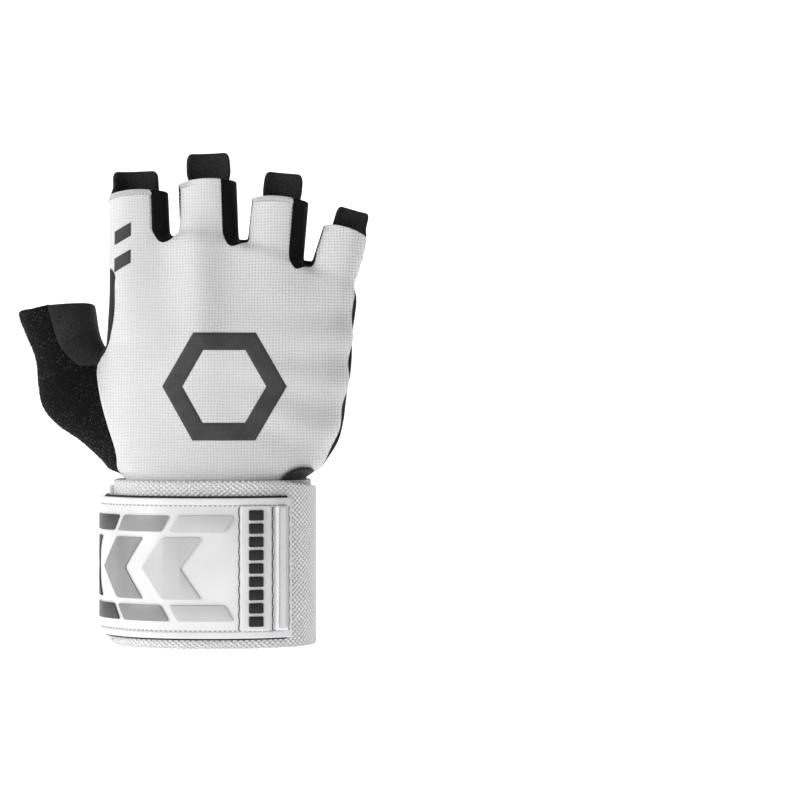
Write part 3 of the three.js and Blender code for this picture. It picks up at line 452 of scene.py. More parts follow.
def cone_field(a, b, p):
    """Distance to a cone with round ends."""
    axis = b[0] - a[0]
    length2 = axis @ axis
    fall = a[1] - b[1]
    slant2 = length2 - fall * fall
    start = p - a[0]
    y = start @ axis
    z = y - length2
    x2 = ((start * length2 - np.outer(y, axis)) ** 2).sum(1)
    y2 = y * y * length2
    z2 = z * z * length2
    k = np.sign(fall) * fall * fall * x2
    over = np.sqrt(x2 + z2) / length2 - b[1]
    under = np.sqrt(x2 + y2) / length2 - a[1]
    between = (np.sqrt(x2 * slant2 / length2) + y * fall) / length2 - a[1]
    beside = np.where(np.sign(y) * slant2 * y2 < k, under, between)
    return np.where(np.sign(z) * slant2 * z2 > k, over, beside)


def thumb_field(p):
    d = cone_field(thumb_stations[0], thumb_stations[1], p)
    for i in (1, 2):
        d = smooth_min(d, cone_field(thumb_stations[i], thumb_stations[i + 1], p), JOINT_BLEND)
    return np.maximum(d, THUMB_CUT * (RIM_HEIGHT + THUMB_LAP - p[:, 2]))


def hand_field(p):
    """Distance to the whole hand's surface, below 0 inside."""
    near = fingers[0].field(p)
    for finger in fingers[1:]:
        near = smooth_min(near, finger.field(p), FINGER_BLEND)
    return smooth_min(smooth_min(palm_field(p), near, WEB_BLEND), thumb_field(p), THUMB_BLEND)


def steepest(p):
    """The gradient of the hand's field."""
    h = 0.05
    slopes = [hand_field(p + h * axis) - hand_field(p - h * axis) for axis in np.eye(3)]
    return np.stack(slopes, 1) / (2 * h)


def unit(v):
    return v / np.maximum(np.linalg.norm(v, axis=-1, keepdims=True), 1e-12)


def run_along(points):
    """The way run at each point of a line, from its start."""
    return np.concatenate([[0], np.cumsum(np.linalg.norm(np.diff(points, axis=0), axis=1))])


def cells_of(ids):
    """The four-sided cells between rows of numbered points."""
    return np.stack([ids[:-1, :-1], ids[:-1, 1:], ids[1:, 1:], ids[1:, :-1]], -1).reshape(-1, 4)


def edges_of(cells, count):
    """Both ends of each cell's edges, and whether an edge is an open one."""
    start, end = cells.ravel(), np.roll(cells, -1, axis=1).ravel()
    return start, end, ~np.isin(start * count + end, end * count + start)


def outward(p):
    """Directions straight out of the hand."""
    shape = p.shape
    return unit(steepest(p.reshape(-1, 3))).reshape(shape)


def settle(points, level=0.0):
    """Moves points straight to the hand's surface, or to a level outside it."""
    shape = np.shape(points)
    q = np.array(points, float).reshape(-1, 3)
    active = np.arange(len(q))
    for _ in range(SETTLE_ROUNDS):
        off = hand_field(q[active]) - level
        wanting = np.abs(off) > CLOSE_ENOUGH
        active, off = active[wanting], off[wanting]
        if not len(active):
            break
        g = steepest(q[active])
        q[active] -= g * (np.clip(off, -4, 4) / np.maximum((g**2).sum(1), 0.3))[:, None]
    return q.reshape(shape)


def leaves(start, way):
    """Where rays from inside the hand leave it."""
    far = np.ones(len(start))
    active = np.arange(len(start))
    for _ in range(RAY_STEPS):
        inside = hand_field(start[active] + way[active] * far[active, None]) < 0
        active = active[inside]
        if not len(active):
            break
        far[active] += 1
    near = far - 1
    for _ in range(RAY_HALVINGS):
        middle = (near + far) / 2
        inside = hand_field(start + way * middle[:, None]) < 0
        near = np.where(inside, middle, near)
        far = np.where(inside, far, middle)
    return start + way * far[:, None]


def seen_from(side, x, z):
    """Where rays from outside meet the hand, looking at its back (side -1) or its palm (side 1)."""
    p = np.stack([np.asarray(x, float), np.full(np.shape(x), side * VIEW_FROM), np.asarray(z, float)], -1)
    shape = p.shape
    p = p.reshape(-1, 3)
    active = np.arange(len(p))
    for _ in range(VIEW_STEPS):
        f = hand_field(p[active])
        keep = (f > 0) & (np.abs(p[active, 1]) <= VIEW_FROM)
        active, f = active[keep], f[keep]
        if not len(active):
            break
        p[active, 1] -= side * np.maximum(f * 0.5, 0.4)
    return leaves(p, np.tile((0.0, side, 0.0), (len(p), 1))).reshape(shape)


def lay_over(side):
    """Lays points over the back or the palm: straight out in the middle, the shortest way at the edges."""

    def lay(p, across, up):
        shape = p.shape
        q = p.reshape(-1, 3)
        left, right, back, palm = sections(q[:, 2]).T
        depth = back if side < 0 else palm
        room = np.minimum(q[:, 0] + left, right - q[:, 0])
        straightness = ramp(depth * 0.6, depth * 1.2, room)
        if side > 0:
            web = at_rise(THUMB_WEB[1])
            below = (1 - ramp(web, web + THUMB_BLEND, q[:, 2])) * (q[:, 0] < 0)
            straightness = np.maximum(straightness, below)
        shortest = settle(q)
        over = np.where(straightness[:, None] > 0, seen_from(side, q[:, 0], q[:, 2]), shortest)
        return settle(mix(shortest, over, straightness[:, None])).reshape(shape)

    return lay


def lay_on_thumb(way):
    """Lays points of a thumb panel: out to its own side of the thumb, then the shortest way."""

    def lay(p, across, up):
        bulge = THUMB_BULGE * THUMB_WIDTH * 4 * across * (1 - across) * np.minimum(2 * up, 1)
        return settle(p + np.array(way) * bulge[..., None])

    return lay


def on_hand(side, rows):
    """Points on the hand from a table of shares, seen from its back or its palm."""
    table = np.array(rows, float)
    return seen_from(side, table[:, 0] * PALM_WIDTH, at_rise(table[:, 1]))


def smooth_line(points, cells, detail=40):
    """Evenly spaced points on a smooth centripetal curve through the given ones."""
    p = np.array(points, float)
    p = np.vstack([2 * p[0] - p[1], p, 2 * p[-1] - p[-2]])
    fine = []
    for i in range(1, len(p) - 2):
        chords = np.diff(p[i - 1 : i + 3], axis=0)
        d = [max(np.linalg.norm(chord) ** 0.5, 1e-4) for chord in chords]
        t1 = (chords[0] / d[0] - (p[i + 1] - p[i - 1]) / (d[0] + d[1]) + chords[1] / d[1]) * d[1]
        t2 = (chords[1] / d[1] - (p[i + 2] - p[i]) / (d[1] + d[2]) + chords[2] / d[2]) * d[1]
        t = np.linspace(0, 1, detail, endpoint=False)[:, None]
        a, b = p[i], p[i + 1]
        fine.append(a + t1 * t + (3 * (b - a) - 2 * t1 - t2) * t**2 + (2 * (a - b) + t1 + t2) * t**3)
    fine = np.vstack([*fine, p[-2:-1]])
    run = run_along(fine)
    even = np.linspace(0, run[-1], cells + 1)
    return np.stack([np.interp(even, run, fine[:, k]) for k in range(fine.shape[1])], 1)


def seam_run(points, cells):
    """A smooth line through points, laid on the hand."""
    return settle(smooth_line(points, cells))


def join(*runs):
    return np.vstack([runs[0]] + [run[1:] for run in runs[1:]])


def section_at(height, angle):
    """Points of the hand's outline at a height, by angles in radians from +X to -Y."""
    a = np.atleast_1d(angle)
    start = np.tile((0.0, 0.0, height), (len(a), 1))
    return leaves(start, np.stack([np.cos(a), -np.sin(a), np.zeros(len(a))], 1))


def wrist_run(start, end, cells):
    """The hand's outline at the wrap's rim, from under one point to under another."""
    a, b = (math.atan2(-p[1], p[0]) for p in (start, end))
    turn = 2 * math.pi if a > b and b < 0 < a and start[0] < 0 and end[0] < 0 else 0
    return section_at(MOUTH, np.linspace(a, b + turn, cells + 1))


def fill_patch(bottom, top, left, right, lay):
    """Fills the space between four edge curves with a grid and lays it on the hand."""
    v = np.linspace(0, 1, len(left))[:, None, None]
    u = np.linspace(0, 1, len(bottom))[None, :, None]
    grid = mix(bottom[None], top[None], v) + mix(left[:, None], right[:, None], u)
    grid -= mix(mix(bottom[0], bottom[-1], u), mix(top[0], top[-1], u), v)
    inner = np.s_[1:-1, 1:-1]
    across, up = np.broadcast_arrays(u[..., 0], v[..., 0])
    grid[inner] = lay(grid[inner], across[inner], up[inner])
    grid[0], grid[-1], grid[:, 0], grid[:, -1] = bottom, top, left, right
    return grid


class Sheet:
    """A surface of four-sided cells, before it gets its thickness."""

    def __init__(self):
        self.points = np.zeros((0, 3))
        self.flat = np.zeros((0, 2))
        self.cells = []

    def add(self, points, flat):
        first = len(self.points)
        self.points = np.vstack([self.points, points])
        self.flat = np.vstack([self.flat, flat])
        return np.arange(first, first + len(points))

    def grid(self, points, flat, below=None):
        """Adds rows of points, joined to a row that is already there, and returns their numbers."""
        rows = [] if below is None else [below]
        for row, flat_row in zip(points, flat):
            rows.append(self.add(row, flat_row))
        ids = np.array(rows)
        self.cells.append(cells_of(ids))
        return ids


def flat_places(points, start=None):
    """A place on the flat cloth for each point of rows: arc length across, height up."""
    steps = np.linalg.norm(np.diff(points[..., :2], axis=1), axis=-1)
    run = np.concatenate([np.zeros((len(points), 1)), np.cumsum(steps, axis=1)], axis=1)
    middle = points.shape[1] // 2
    base = points[:, middle, 0] if start is None else np.full(len(points), start)
    return np.stack([run - run[:, middle : middle + 1] + base[:, None], points[..., 2]], -1)


# Seams that two cloths share
by_thumb = on_hand(-1, EDGE_BY_THUMB)
by_web = on_hand(-1, EDGE_BY_WEB)
corner = by_thumb[-1]
crotch = on_hand(1, [THUMB_WEB])[0]
thumb_along = unit(thumb_stations[2][0] - thumb_stations[1][0])
thumb_aside = unit(np.array((thumb_along[2], 0, -thumb_along[0])))


def on_thumb(share, angle):
    """Points on the thumb: a share of the way to its hem and degrees round it."""
    share, a = np.broadcast_arrays(share, np.radians(angle))
    way = thumb_aside * np.cos(a)[..., None] - np.array((0, 1, 0)) * np.sin(a)[..., None]
    hem = THUMB_OPENING - THUMB_HEM_TILT * np.cos(a) + THUMB_HEM_CROWN * np.maximum(np.sin(a), 0)
    start = mix(thumb_stations[1][0], thumb_stations[2][0], (share * hem)[..., None])
    return leaves(start.reshape(-1, 3), way.reshape(-1, 3))


def on_index_edge(rise, turn=0.0):
    finger = fingers[0]
    s = np.array([finger.station(at_rise(rise))])
    return finger.at(s, np.array([SEAM_INDEX_EDGE + turn]))[0]


def base_of(i, webs):
    """Where a finger's sleeve starts on its thumb side and its little-finger side."""
    finger = fingers[i]
    start = at_rise(1.03) if i == 0 else at_rise(webs[i - 1][0][1] + WEB_START)
    end = at_rise(0.86) if i == len(webs) else at_rise(webs[i][0][1] + WEB_START)
    return finger.station(start), finger.station(end)


def finger_rows(i, webs, angles, top_at):
    """Rows of points over one side of a finger, from its base to its hem."""
    finger = fingers[i]
    start, end = base_of(i, webs)
    u = np.linspace(0, 1, CELLS_FINGER + 1)[None]
    v = np.linspace(0, 1, ROWS_FINGER + 1)[:, None]
    angle = mix(angles[0], angles[1], u) + 0 * v
    return finger.at(mix(mix(start, end, u), top_at(finger, angle), v), angle)


def back_hem(finger, angle):
    return finger.side_hem + HEM_CROWN * FINGER_LENGTH * np.maximum(np.sin(np.radians(angle)), 0)


def side_hem(finger, angle):
    return finger.side_hem + 0 * angle


last = len(fingers) - 1
back_angles = [
    (SEAM_INDEX_EDGE if i == 0 else SEAM_BACK[0], SEAM_LITTLE_EDGE if i == last else SEAM_BACK[1])
    for i in range(len(fingers))
]
palm_angles = [
    (SEAM_INDEX_EDGE if i == 0 else SEAM_PALM[0], SEAM_LITTLE_EDGE + 360 if i == last else SEAM_PALM[1])
    for i in range(len(fingers))
]
back_fingers = [finger_rows(i, WEBS_BACK, back_angles[i], back_hem) for i in range(len(fingers))]
palm_fingers = [finger_rows(i, WEBS_PALM, palm_angles[i], side_hem) for i in range(len(fingers))]

strap_end = on_index_edge(0.885, -8)
index_base = back_fingers[0][0, 0]
seam_wrist_to_web = seam_run(by_thumb, CELLS_LOWER)
seam_web_to_strap = seam_run([corner, *by_web, strap_end], CELLS_WEB_STRIP)
seam_strap_to_finger = seam_run([strap_end, on_index_edge(0.95), index_base], CELLS_KNUCKLE)
under_web = on_hand(-1, THUMB_UNDER_WEB)[::-1]
thumb_back_points = on_thumb(np.array((0.55, 0.8, 1.0)), THUMB_SEAM_BACK)
seam_thumb_back = seam_run([corner, *under_web, *thumb_back_points], CELLS_THUMB_SIDE)
thumb_web_points = on_thumb(np.array((0.5, 0.75, 1.0)), THUMB_SEAM_WEB)
seam_thumb_web = seam_run([crotch, *thumb_web_points], CELLS_THUMB_SIDE)
beside_index = [on_index_edge(0.64, 30), on_index_edge(0.72, 20), on_index_edge(0.81, 10)]
seam_crotch_to_strap = seam_run([crotch, *beside_index, strap_end], CELLS_WEB_STRIP)
seam_palm_to_thumb = seam_run([*on_hand(1, THUMB_LINE), crotch], CELLS_LOWER)
thumb_front_points = on_thumb(np.array((0.02, 0.35, 0.7, 1.0)), THUMB_SEAM_FRONT)
seam_thumb_front = seam_run([*on_hand(1, FRONT_LINE), *thumb_front_points], CELLS_LOWER + CELLS_THUMB_SIDE)


def little_edge_points():
    """Points of the seam along the little-finger side of the palm."""
    heights = np.linspace(MOUTH, at_rise(0.84), 7)
    _, right, back, _ = sections(heights).T
    start = np.stack([right - back, 0 * heights, heights], 1)
    turn = math.radians(8)
    return leaves(start, np.tile((math.cos(turn), -math.sin(turn), 0.0), (len(heights), 1)))


seam_little_edge = seam_run([*little_edge_points(), back_fingers[3][0, -1]], ROWS_PALM)


def comb(finger_points, webs, side, left, right, extra_rows=()):
    """One cloth over the palm or back and its four fingers. Returns the sheet, its crest and starts."""
    crest, starts = [], []
    for i, rows in enumerate(finger_points):
        starts.append(sum(len(part) for part in crest))
        crest.append(rows[0])
        if i < len(webs):
            dip = seam_run([rows[0, -1], *on_hand(side, webs[i]), finger_points[i + 1][0, 0]], CELLS_WEB)
            crest.append(dip[1:-1])
    crest = np.vstack(crest)
    bottom = wrist_run(left[0], right[0], len(crest) - 1)
    body = fill_patch(bottom, crest, left, right, lay_over(side))
    flat = flat_places(body)
    tuck = body[0].copy()
    tuck[:, 2] = RIM_HEIGHT - TUCK
    sheet = Sheet()
    tuck_flat = flat[0] - np.array((0, MOUTH - RIM_HEIGHT + TUCK))
    ids = sheet.grid(np.concatenate([tuck[None], body]), np.concatenate([tuck_flat[None], flat]))
    for i, rows in enumerate(finger_points):
        top = ids[-1, starts[i] : starts[i] + CELLS_FINGER + 1]
        middle = flat[-1, starts[i] + CELLS_FINGER // 2, 0]
        more = [rows[1:]] + ([extra_rows[i]] if len(extra_rows) else [])
        more = np.concatenate(more)
        sheet.grid(more, flat_places(more, middle), top)
    relax(sheet)
    return sheet, crest, starts


def relax(sheet, rounds=12):
    """Evens out the cells of a sheet between its edges and keeps them on the hand."""
    count = len(sheet.points)
    start, end, is_open = edges_of(np.concatenate(sheet.cells), count)
    free = np.ones(count, bool)
    free[start[is_open]] = free[end[is_open]] = False
    near = np.bincount(start, minlength=count) + np.bincount(end, minlength=count)
    for _ in range(rounds):
        total = np.zeros_like(sheet.points)
        np.add.at(total, start, sheet.points[end])
        np.add.at(total, end, sheet.points[start])
        mean = total / np.maximum(near, 1)[:, None]
        moved = mix(sheet.points, mean, 0.7)
        above = free & (sheet.points[:, 2] > MOUTH + 2)
        sheet.points[above] = settle(moved[above])


def tab_rows(i):
    """The pull tab: the palm's suede runs on beyond the hem, with round corners."""
    finger = fingers[i]
    thumb_side, little_side = palm_angles[i]
    v = np.linspace(0, 1, ROWS_TAB + 1)[1:, None]
    v = 1 - (1 - v) ** 1.3
    u = np.linspace(0, 1, CELLS_FINGER + 1)[None]
    rounding = 1 - np.sqrt(np.maximum(1 - (np.maximum(v - 0.7, 0) / 0.3) ** 2, 0))
    ease = np.minimum(v * 2.5, 1)
    low = thumb_side + TAB_EDGES[i][0] * ease
    high = little_side + TAB_EDGES[i][1] * ease
    middle = (low + high) / 2
    angle = mix(middle, mix(low, high, u), 1 - TAB_NARROWING * v - 0.22 * rounding)
    return finger.at(finger.side_hem + finger.tab * v + 0 * u, angle)


back_left = join(seam_wrist_to_web, seam_web_to_strap, seam_strap_to_finger)
palm_left = join(seam_palm_to_thumb, seam_crotch_to_strap, seam_strap_to_finger)
tabs = [tab_rows(i) for i in range(len(fingers))]
combed_back = comb(back_fingers, WEBS_BACK, -1, back_left, seam_little_edge)
combed_palm = comb(palm_fingers, WEBS_PALM, 1, palm_left, seam_little_edge, tabs)


def fourchette_rows(i):
    """The strip between two fingers, from the back seam to the palm seam."""

    def gap(points, combed):
        _, crest, starts = combed
        first = starts[i] + CELLS_FINGER + 1
        return np.vstack([points[i][::-1, -1], crest[first : starts[i + 1]], points[i + 1][:, 0]])

    start, end = gap(back_fingers, combed_back), gap(palm_fingers, combed_palm)
    t = np.linspace(0, 1, 13)[None, :, None]
    rows = mix(start[:, None], end[:, None], t)
    share = np.arange(len(start)) / (len(start) - 1)
    low = ramp(0.36, 0.46, share) * (1 - ramp(0.54, 0.64, share))
    rows[..., 2] += WEB_ARCH * low[:, None] * (4 * t * (1 - t))[..., 0]
    rows[:, 1:-1] = settle(rows[:, 1:-1])
    return rows


def gusset_rows():
    """The strip over the inside of the thumb and round its web, to a blunt end beside the index finger."""

    def blunt(run):
        return np.vstack([run[:-1], mix(run[-2], run[-1], STRIP_END)])

    start = blunt(join(seam_thumb_back[::-1], seam_web_to_strap))
    end = blunt(join(seam_thumb_web[::-1], seam_crotch_to_strap))
    rows = mix(start[:, None], end[:, None], np.linspace(0, 1, CELLS_GUSSET + 1)[None, :, None])
    rows[:, 1:-1] = settle(rows[:, 1:-1])
    return rows


def thumb_hem(start, end):
    """The thumb's hem between two angles."""
    return on_thumb(1.0, np.linspace(start, end, CELLS_THUMB + 1))


def tucked(rows):
    """Rows that run on straight down, hidden by the wrap."""
    foot = rows[:1].copy()
    foot[..., 2] = RIM_HEIGHT - TUCK
    return np.concatenate([foot, rows])


def sheet_of(rows):
    sheet = Sheet()
    sheet.grid(rows, flat_places(rows))
    return sheet


# Making objects


def object_of(name, points, faces, flat=None):
    """A smooth-shaded mesh object at the origin, from points in millimetres."""
    mesh = bpy.data.meshes.new(name)
    mesh.from_pydata((np.asarray(points) * MM).tolist(), [], [list(map(int, face)) for face in faces])
    mesh.shade_smooth()
    if flat is not None:
        layer = mesh.uv_layers.new(name="cloth")
        corners = np.zeros(len(mesh.loops), np.int32)
        mesh.loops.foreach_get("vertex_index", corners)
        layer.data.foreach_set("uv", np.asarray(flat, np.float32)[corners].ravel())
    made = bpy.data.objects.new(name, mesh)
    bpy.context.scene.collection.objects.link(made)
    return made


def place(piece, material, slot, *nodes):
    """Gives a finished piece its material and its place in the frame."""
    piece.data.materials.clear()
    piece.data.materials.append(material)
    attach(piece, BODY)
    if nodes:
        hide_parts(*nodes)
    return piece


def declare(sheet):
    """Works out the size and area that a sheet of cloth was cut to; nothing uses them."""
    a, b, c, d = (sheet.points[np.concatenate(sheet.cells)[:, k]] for k in range(4))
    area = np.linalg.norm(np.cross(c - a, d - b), axis=1).sum() / 2 * MM * MM
    width, length = (np.ptp(sheet.flat, axis=0) * MM).tolist()
    length = max(length, area / (0.95 * width))


def wall_of(name, sheet, thickness, relief=None, normals=None, gap=0.16, roundness=0.55):
    """A closed wall with round edges. The sheet is its outer face, before the relief moves it in or out."""
    points, cells = sheet.points, np.concatenate(sheet.cells)
    normals = outward(points) if normals is None else normals
    a, b, c, d = (points[cells[:, k]] for k in range(4))
    if (np.cross(c - a, d - b) * normals[cells[:, 0]]).sum() < 0:
        cells = cells[:, ::-1]
    count = len(points)
    start, end, is_open = edges_of(cells, count)
    start, end = start[is_open], end[is_open]
    way = unit(np.cross(normals[start], unit(points[end] - points[start])))
    inward = np.zeros_like(points)
    np.add.at(inward, start, way)
    np.add.at(inward, end, way)
    inward = unit(inward)
    mitre = np.ones(count)
    mitre[start] = np.maximum((inward[start] * way).sum(1), 0.6)
    bulge = thickness / 2 * roundness
    outer = points + inward * ((gap / 2 + bulge) / mitre)[:, None]
    if relief is not None:
        outer += normals * relief(points)[:, None]
    inner = outer - normals * thickness
    border = np.unique(start)
    number = np.full(count, -1)
    number[border] = np.arange(len(border))
    middle = (outer[border] + inner[border]) / 2
    rings = [
        middle + normals[border] * (thickness / 2 * math.sin(t)) - inward[border] * (bulge * math.cos(t))
        for t in RIM_ANGLES
    ]
    rim_rows = [2 * count + k * len(border) + np.arange(len(border)) for k in range(len(rings))]
    levels = [border, *rim_rows, border + count]
    faces = [cells, cells[:, ::-1] + count]
    one, other = number[start], number[end]
    for upper, lower in zip(levels, levels[1:]):
        faces.append(np.stack([upper[other], upper[one], lower[one], lower[other]], 1))
    flat = np.vstack([sheet.flat, sheet.flat] + [sheet.flat[border]] * len(rings))
    return object_of(name, np.vstack([outer, inner, *rings]), np.concatenate(faces), flat)


def stitches(name, centres, along, up, length, width, height):
    """Many small rounded stitches as one mesh, each lying along its own direction."""
    centres, along, up = (np.asarray(v, float) for v in (centres, along, up))
    length = np.broadcast_to(length, len(centres))
    along = unit(along)
    aside = unit(np.cross(up, along))
    up = np.cross(along, aside)
    turn = np.arange(SEGMENTS) * 2 * math.pi / SEGMENTS
    rings = []
    for place_along, size in CAPSULE_RINGS:
        ring = centres[:, None] + (along * (place_along * length)[:, None])[:, None]
        ring = ring + aside[:, None] * (np.cos(turn) * size * width / 2)[None, :, None]
        ring = ring + up[:, None] * (np.sin(turn) * size * height / 2)[None, :, None]
        rings.append(ring)
    points = np.stack(rings, 1)
    per = len(CAPSULE_RINGS) * SEGMENTS
    faces = []
    side = np.arange(SEGMENTS)
    after = (side + 1) % SEGMENTS
    for k in range(len(CAPSULE_RINGS) - 1):
        faces.append(np.stack([side, after, after + SEGMENTS, side + SEGMENTS], 1) + k * SEGMENTS)
    quads = (np.concatenate(faces)[None] + (np.arange(len(centres)) * per)[:, None, None]).reshape(-1, 4)
    ends = [side[::-1], side + per - SEGMENTS]
    caps = [list(end + n * per) for n in range(len(centres)) for end in ends]
    return object_of(name, points.reshape(-1, 3), quads.tolist() + caps)


# Materials


class Recipe:
    """A node material: a Principled shader, and short calls for the nodes that feed it."""

    def __init__(self, name, colour, roughness, **settings):
        self.material = bpy.data.materials.new(name)
        self.material.use_nodes = True
        self.tree = self.material.node_tree
        self.shader = self.tree.nodes["Principled BSDF"]
        self.shader.inputs["Base Color"].default_value = (*colour, 1)
        self.shader.inputs["Roughness"].default_value = roughness
        for key, value in settings.items():
            title = key.replace("_", " ").title().replace("Ior", "IOR")
            self.shader.inputs[title].default_value = value
        self.material.diffuse_color = (*colour, 1)

    def node(self, kind, inputs=(), **settings):
        made = self.tree.nodes.new("ShaderNode" + kind)
        for key, value in settings.items():
            setattr(made, key, value)
        for key, value in dict(inputs).items():
            if isinstance(value, bpy.types.NodeSocket):
                self.tree.links.new(value, made.inputs[key])
            else:
                made.inputs[key].default_value = value
        return made

    def math(self, operation, a, b=0.0):
        return self.node("Math", {0: a, 1: b}, operation=operation).outputs[0]

    def plus(self, a, b):
        return self.math("ADD", a, b)

    def minus(self, a, b):
        return self.math("SUBTRACT", a, b)

    def times(self, a, b):
        return self.math("MULTIPLY", a, b)

    def places(self, source="Object"):
        """Coordinates in millimetres on the piece, or on its flat cloth."""
        if source == "Object":
            start = self.node("TexCoord").outputs["Object"]
            return self.node("Mapping", {"Vector": start, "Scale": (1000, 1000, 1000)}).outputs[0]
        return self.node("UVMap", uv_map=source).outputs[0]

    def split(self, vector):
        return tuple(self.node("SeparateXYZ", {0: vector}).outputs)

    def noise(self, vector, size, detail=2.0, roughness=0.5):
        """Noise with features of about the given size in millimetres."""
        inputs = {"Vector": vector, "Scale": 1 / size, "Detail": detail, "Roughness": roughness}
        return self.node("TexNoise", inputs).outputs["Fac"]

    def wave(self, value, period):
        """From 0 to 1 and back, once a period."""
        turn = self.math("COSINE", self.times(value, 2 * math.pi / period))
        return self.node("Math", {0: turn, 1: 0.5, 2: 0.5}, operation="MULTIPLY_ADD").outputs[0]

    def between(self, value, low, high, to_low=0.0, to_high=1.0):
        inputs = {"Value": value, "From Min": low, "From Max": high, "To Min": to_low, "To Max": to_high}
        return self.node("MapRange", inputs).outputs["Result"]

    def blend(self, factor, a, b):
        made = self.node("Mix", data_type="RGBA")
        self.tree.links.new(factor, made.inputs[0])
        made.inputs[6].default_value = (*a, 1)
        made.inputs[7].default_value = (*b, 1)
        return made.outputs[2]

    def colour(self, socket):
        self.tree.links.new(socket, self.shader.inputs["Base Color"])

    def bump(self, height, strength, distance):
        made = self.node("Bump", {"Height": height, "Strength": strength, "Distance": distance * MM})
        previous = self.shader.inputs["Normal"]
        if previous.is_linked:
            self.tree.links.new(previous.links[0].from_socket, made.inputs["Normal"])
        self.tree.links.new(made.outputs["Normal"], previous)


def grey(level):
    return (level, level, level * 1.01)


materials = {}


def mesh_cloth():
    """White mesh cloth: a grid of small pores between raised threads, with painted shade that darkens the
    pores towards +X.
    """
    made = Recipe("white_mesh_cloth", grey(0.8), 0.85, sheen_weight=0.15, sheen_roughness=0.5)
    places = made.places()
    x, _, z = made.split(places)
    wobble = made.noise(places, 12.0)
    u = made.plus(x, made.times(wobble, 1.6))
    v = made.plus(z, made.times(wobble, 1.2))
    across, up = made.wave(u, MESH_WEAVE[0]), made.wave(v, MESH_WEAVE[1])
    pore = made.math("POWER", made.times(across, up), 1.6)
    patchy = made.between(made.noise(places, 26.0), 0.35, 0.65, 0.6, 1.0)
    # Painted shade: the side ramp darkens the pores towards +X, where the key light falls less.
    side = made.between(x, -45.0, 35.0, 0.35, 1.0)
    shade = made.times(made.times(pore, patchy), side)
    made.colour(made.blend(shade, grey(0.8), grey(0.4)))
    raised = made.times(made.minus(across, up), 0.35)
    made.bump(made.minus(raised, pore), 0.5, 0.25)
    return made.material


def suede_cloth():
    """Black synthetic suede with a fine, slightly speckled nap."""
    look = dict(sheen_weight=0.12, sheen_roughness=0.45, specular_ior_level=0.25)
    made = Recipe("black_suede", grey(0.015), 0.92, **look)
    places = made.places()
    grain = made.noise(places, 0.55, 3.0, 0.7)
    cloud = made.noise(places, 9.0, 2.0)
    value = made.plus(made.times(grain, 0.8), made.times(cloud, 0.2))
    made.colour(made.blend(made.between(value, 0.4, 0.68), grey(0.01), grey(0.052)))
    made.bump(grain, 0.6, 0.25)
    return made.material


def gusset_cloth():
    """Smooth black stretch cloth with faint ribs."""
    made = Recipe("black_gusset", grey(0.005), 0.8, specular_ior_level=0.15)
    places = made.places()
    grain = made.noise(places, 0.8, 2.0, 0.6)
    made.colour(made.blend(made.between(grain, 0.3, 0.75), grey(0.002), grey(0.008)))
    made.bump(made.noise(places, 0.5, 2.0), 0.35, 0.15)
    return made.material


def terry_cloth():
    """Black towelling: dense loops with some pale flecks."""
    made = Recipe("black_towelling", grey(0.008), 1.0, specular_ior_level=0.2)
    places = made.places()
    loops = made.node("TexVoronoi", {"Vector": places, "Scale": 1.15}).outputs["Distance"]
    fleck = made.between(made.noise(places, 0.45, 3.0, 0.8), 0.63, 0.74)
    made.colour(made.blend(fleck, grey(0.004), grey(0.08)))
    made.bump(made.minus(made.noise(places, 0.35, 2.0), loops), 0.9, 0.5)
    return made.material


def knit_cloth():
    """Off-white elastic knit: staggered small stitches, in upright rows."""
    made = Recipe("knitted_band", grey(0.72), 0.9, sheen_weight=0.2, sheen_roughness=0.5)
    u, v, _ = made.split(made.places("cloth"))
    places = made.places()
    wobble = made.times(made.noise(places, 5.0), 0.9)
    u, v = made.plus(u, wobble), made.plus(v, wobble)
    across = made.math("COSINE", made.times(u, 2 * math.pi / KNIT_WEAVE[0]))
    up = made.math("COSINE", made.times(v, 2 * math.pi / KNIT_WEAVE[1]))
    stitch = made.times(across, up)
    slant = made.plus(made.times(u, 2.2), made.times(v, 2.6))
    slanted = made.times(made.wave(slant, 2.6), 0.25)
    fuzz = made.plus(made.noise(places, 0.35, 2.0), slanted)
    height = made.plus(stitch, made.times(fuzz, 0.9))
    made.colour(made.blend(made.between(height, -0.8, 0.2), grey(0.42), grey(0.94)))
    made.bump(height, 0.9, 0.4)
    return made.material


def moulded(name, level, roughness=0.42):
    """Moulded rubber: even colour, faint unevenness and a satin gloss."""
    made = Recipe(name, grey(level), roughness, coat_weight=0.08, coat_roughness=0.3)
    places = made.places()
    cloud = made.noise(places, 14.0, 2.0)
    made.colour(made.blend(made.between(cloud, 0.3, 0.7), grey(level * 0.95), grey(min(level * 1.03, 1))))
    rough = made.between(made.noise(places, 3.0, 3.0), 0.3, 0.7, roughness * 0.85, roughness * 1.15)
    made.tree.links.new(rough, made.shader.inputs["Roughness"])
    made.bump(made.noise(places, 0.6, 2.0), 0.06, 0.05)
    return made.material


def hook_cloth():
    """Black hook tape."""
    made = Recipe("hook_tape", grey(0.01), 0.8, sheen_weight=0.2)
    places = made.places()
    cells = made.node("TexVoronoi", {"Vector": places, "Scale": 1.1}).outputs["Distance"]
    made.colour(made.blend(made.between(cells, 0.1, 0.7), grey(0.014), grey(0.003)))
    made.bump(cells, 0.8, 0.4)
    return made.material


def thread(name, level):
    """Sewing thread, twisted."""
    made = Recipe(name, grey(level), 0.75, sheen_weight=0.3)
    twist = made.noise(made.places(), 0.25, 1.0)
    made.colour(made.blend(made.between(twist, 0.3, 0.7), grey(level * 0.7), grey(min(level * 1.1, 1))))
    made.bump(twist, 0.4, 0.08)
    return made.material


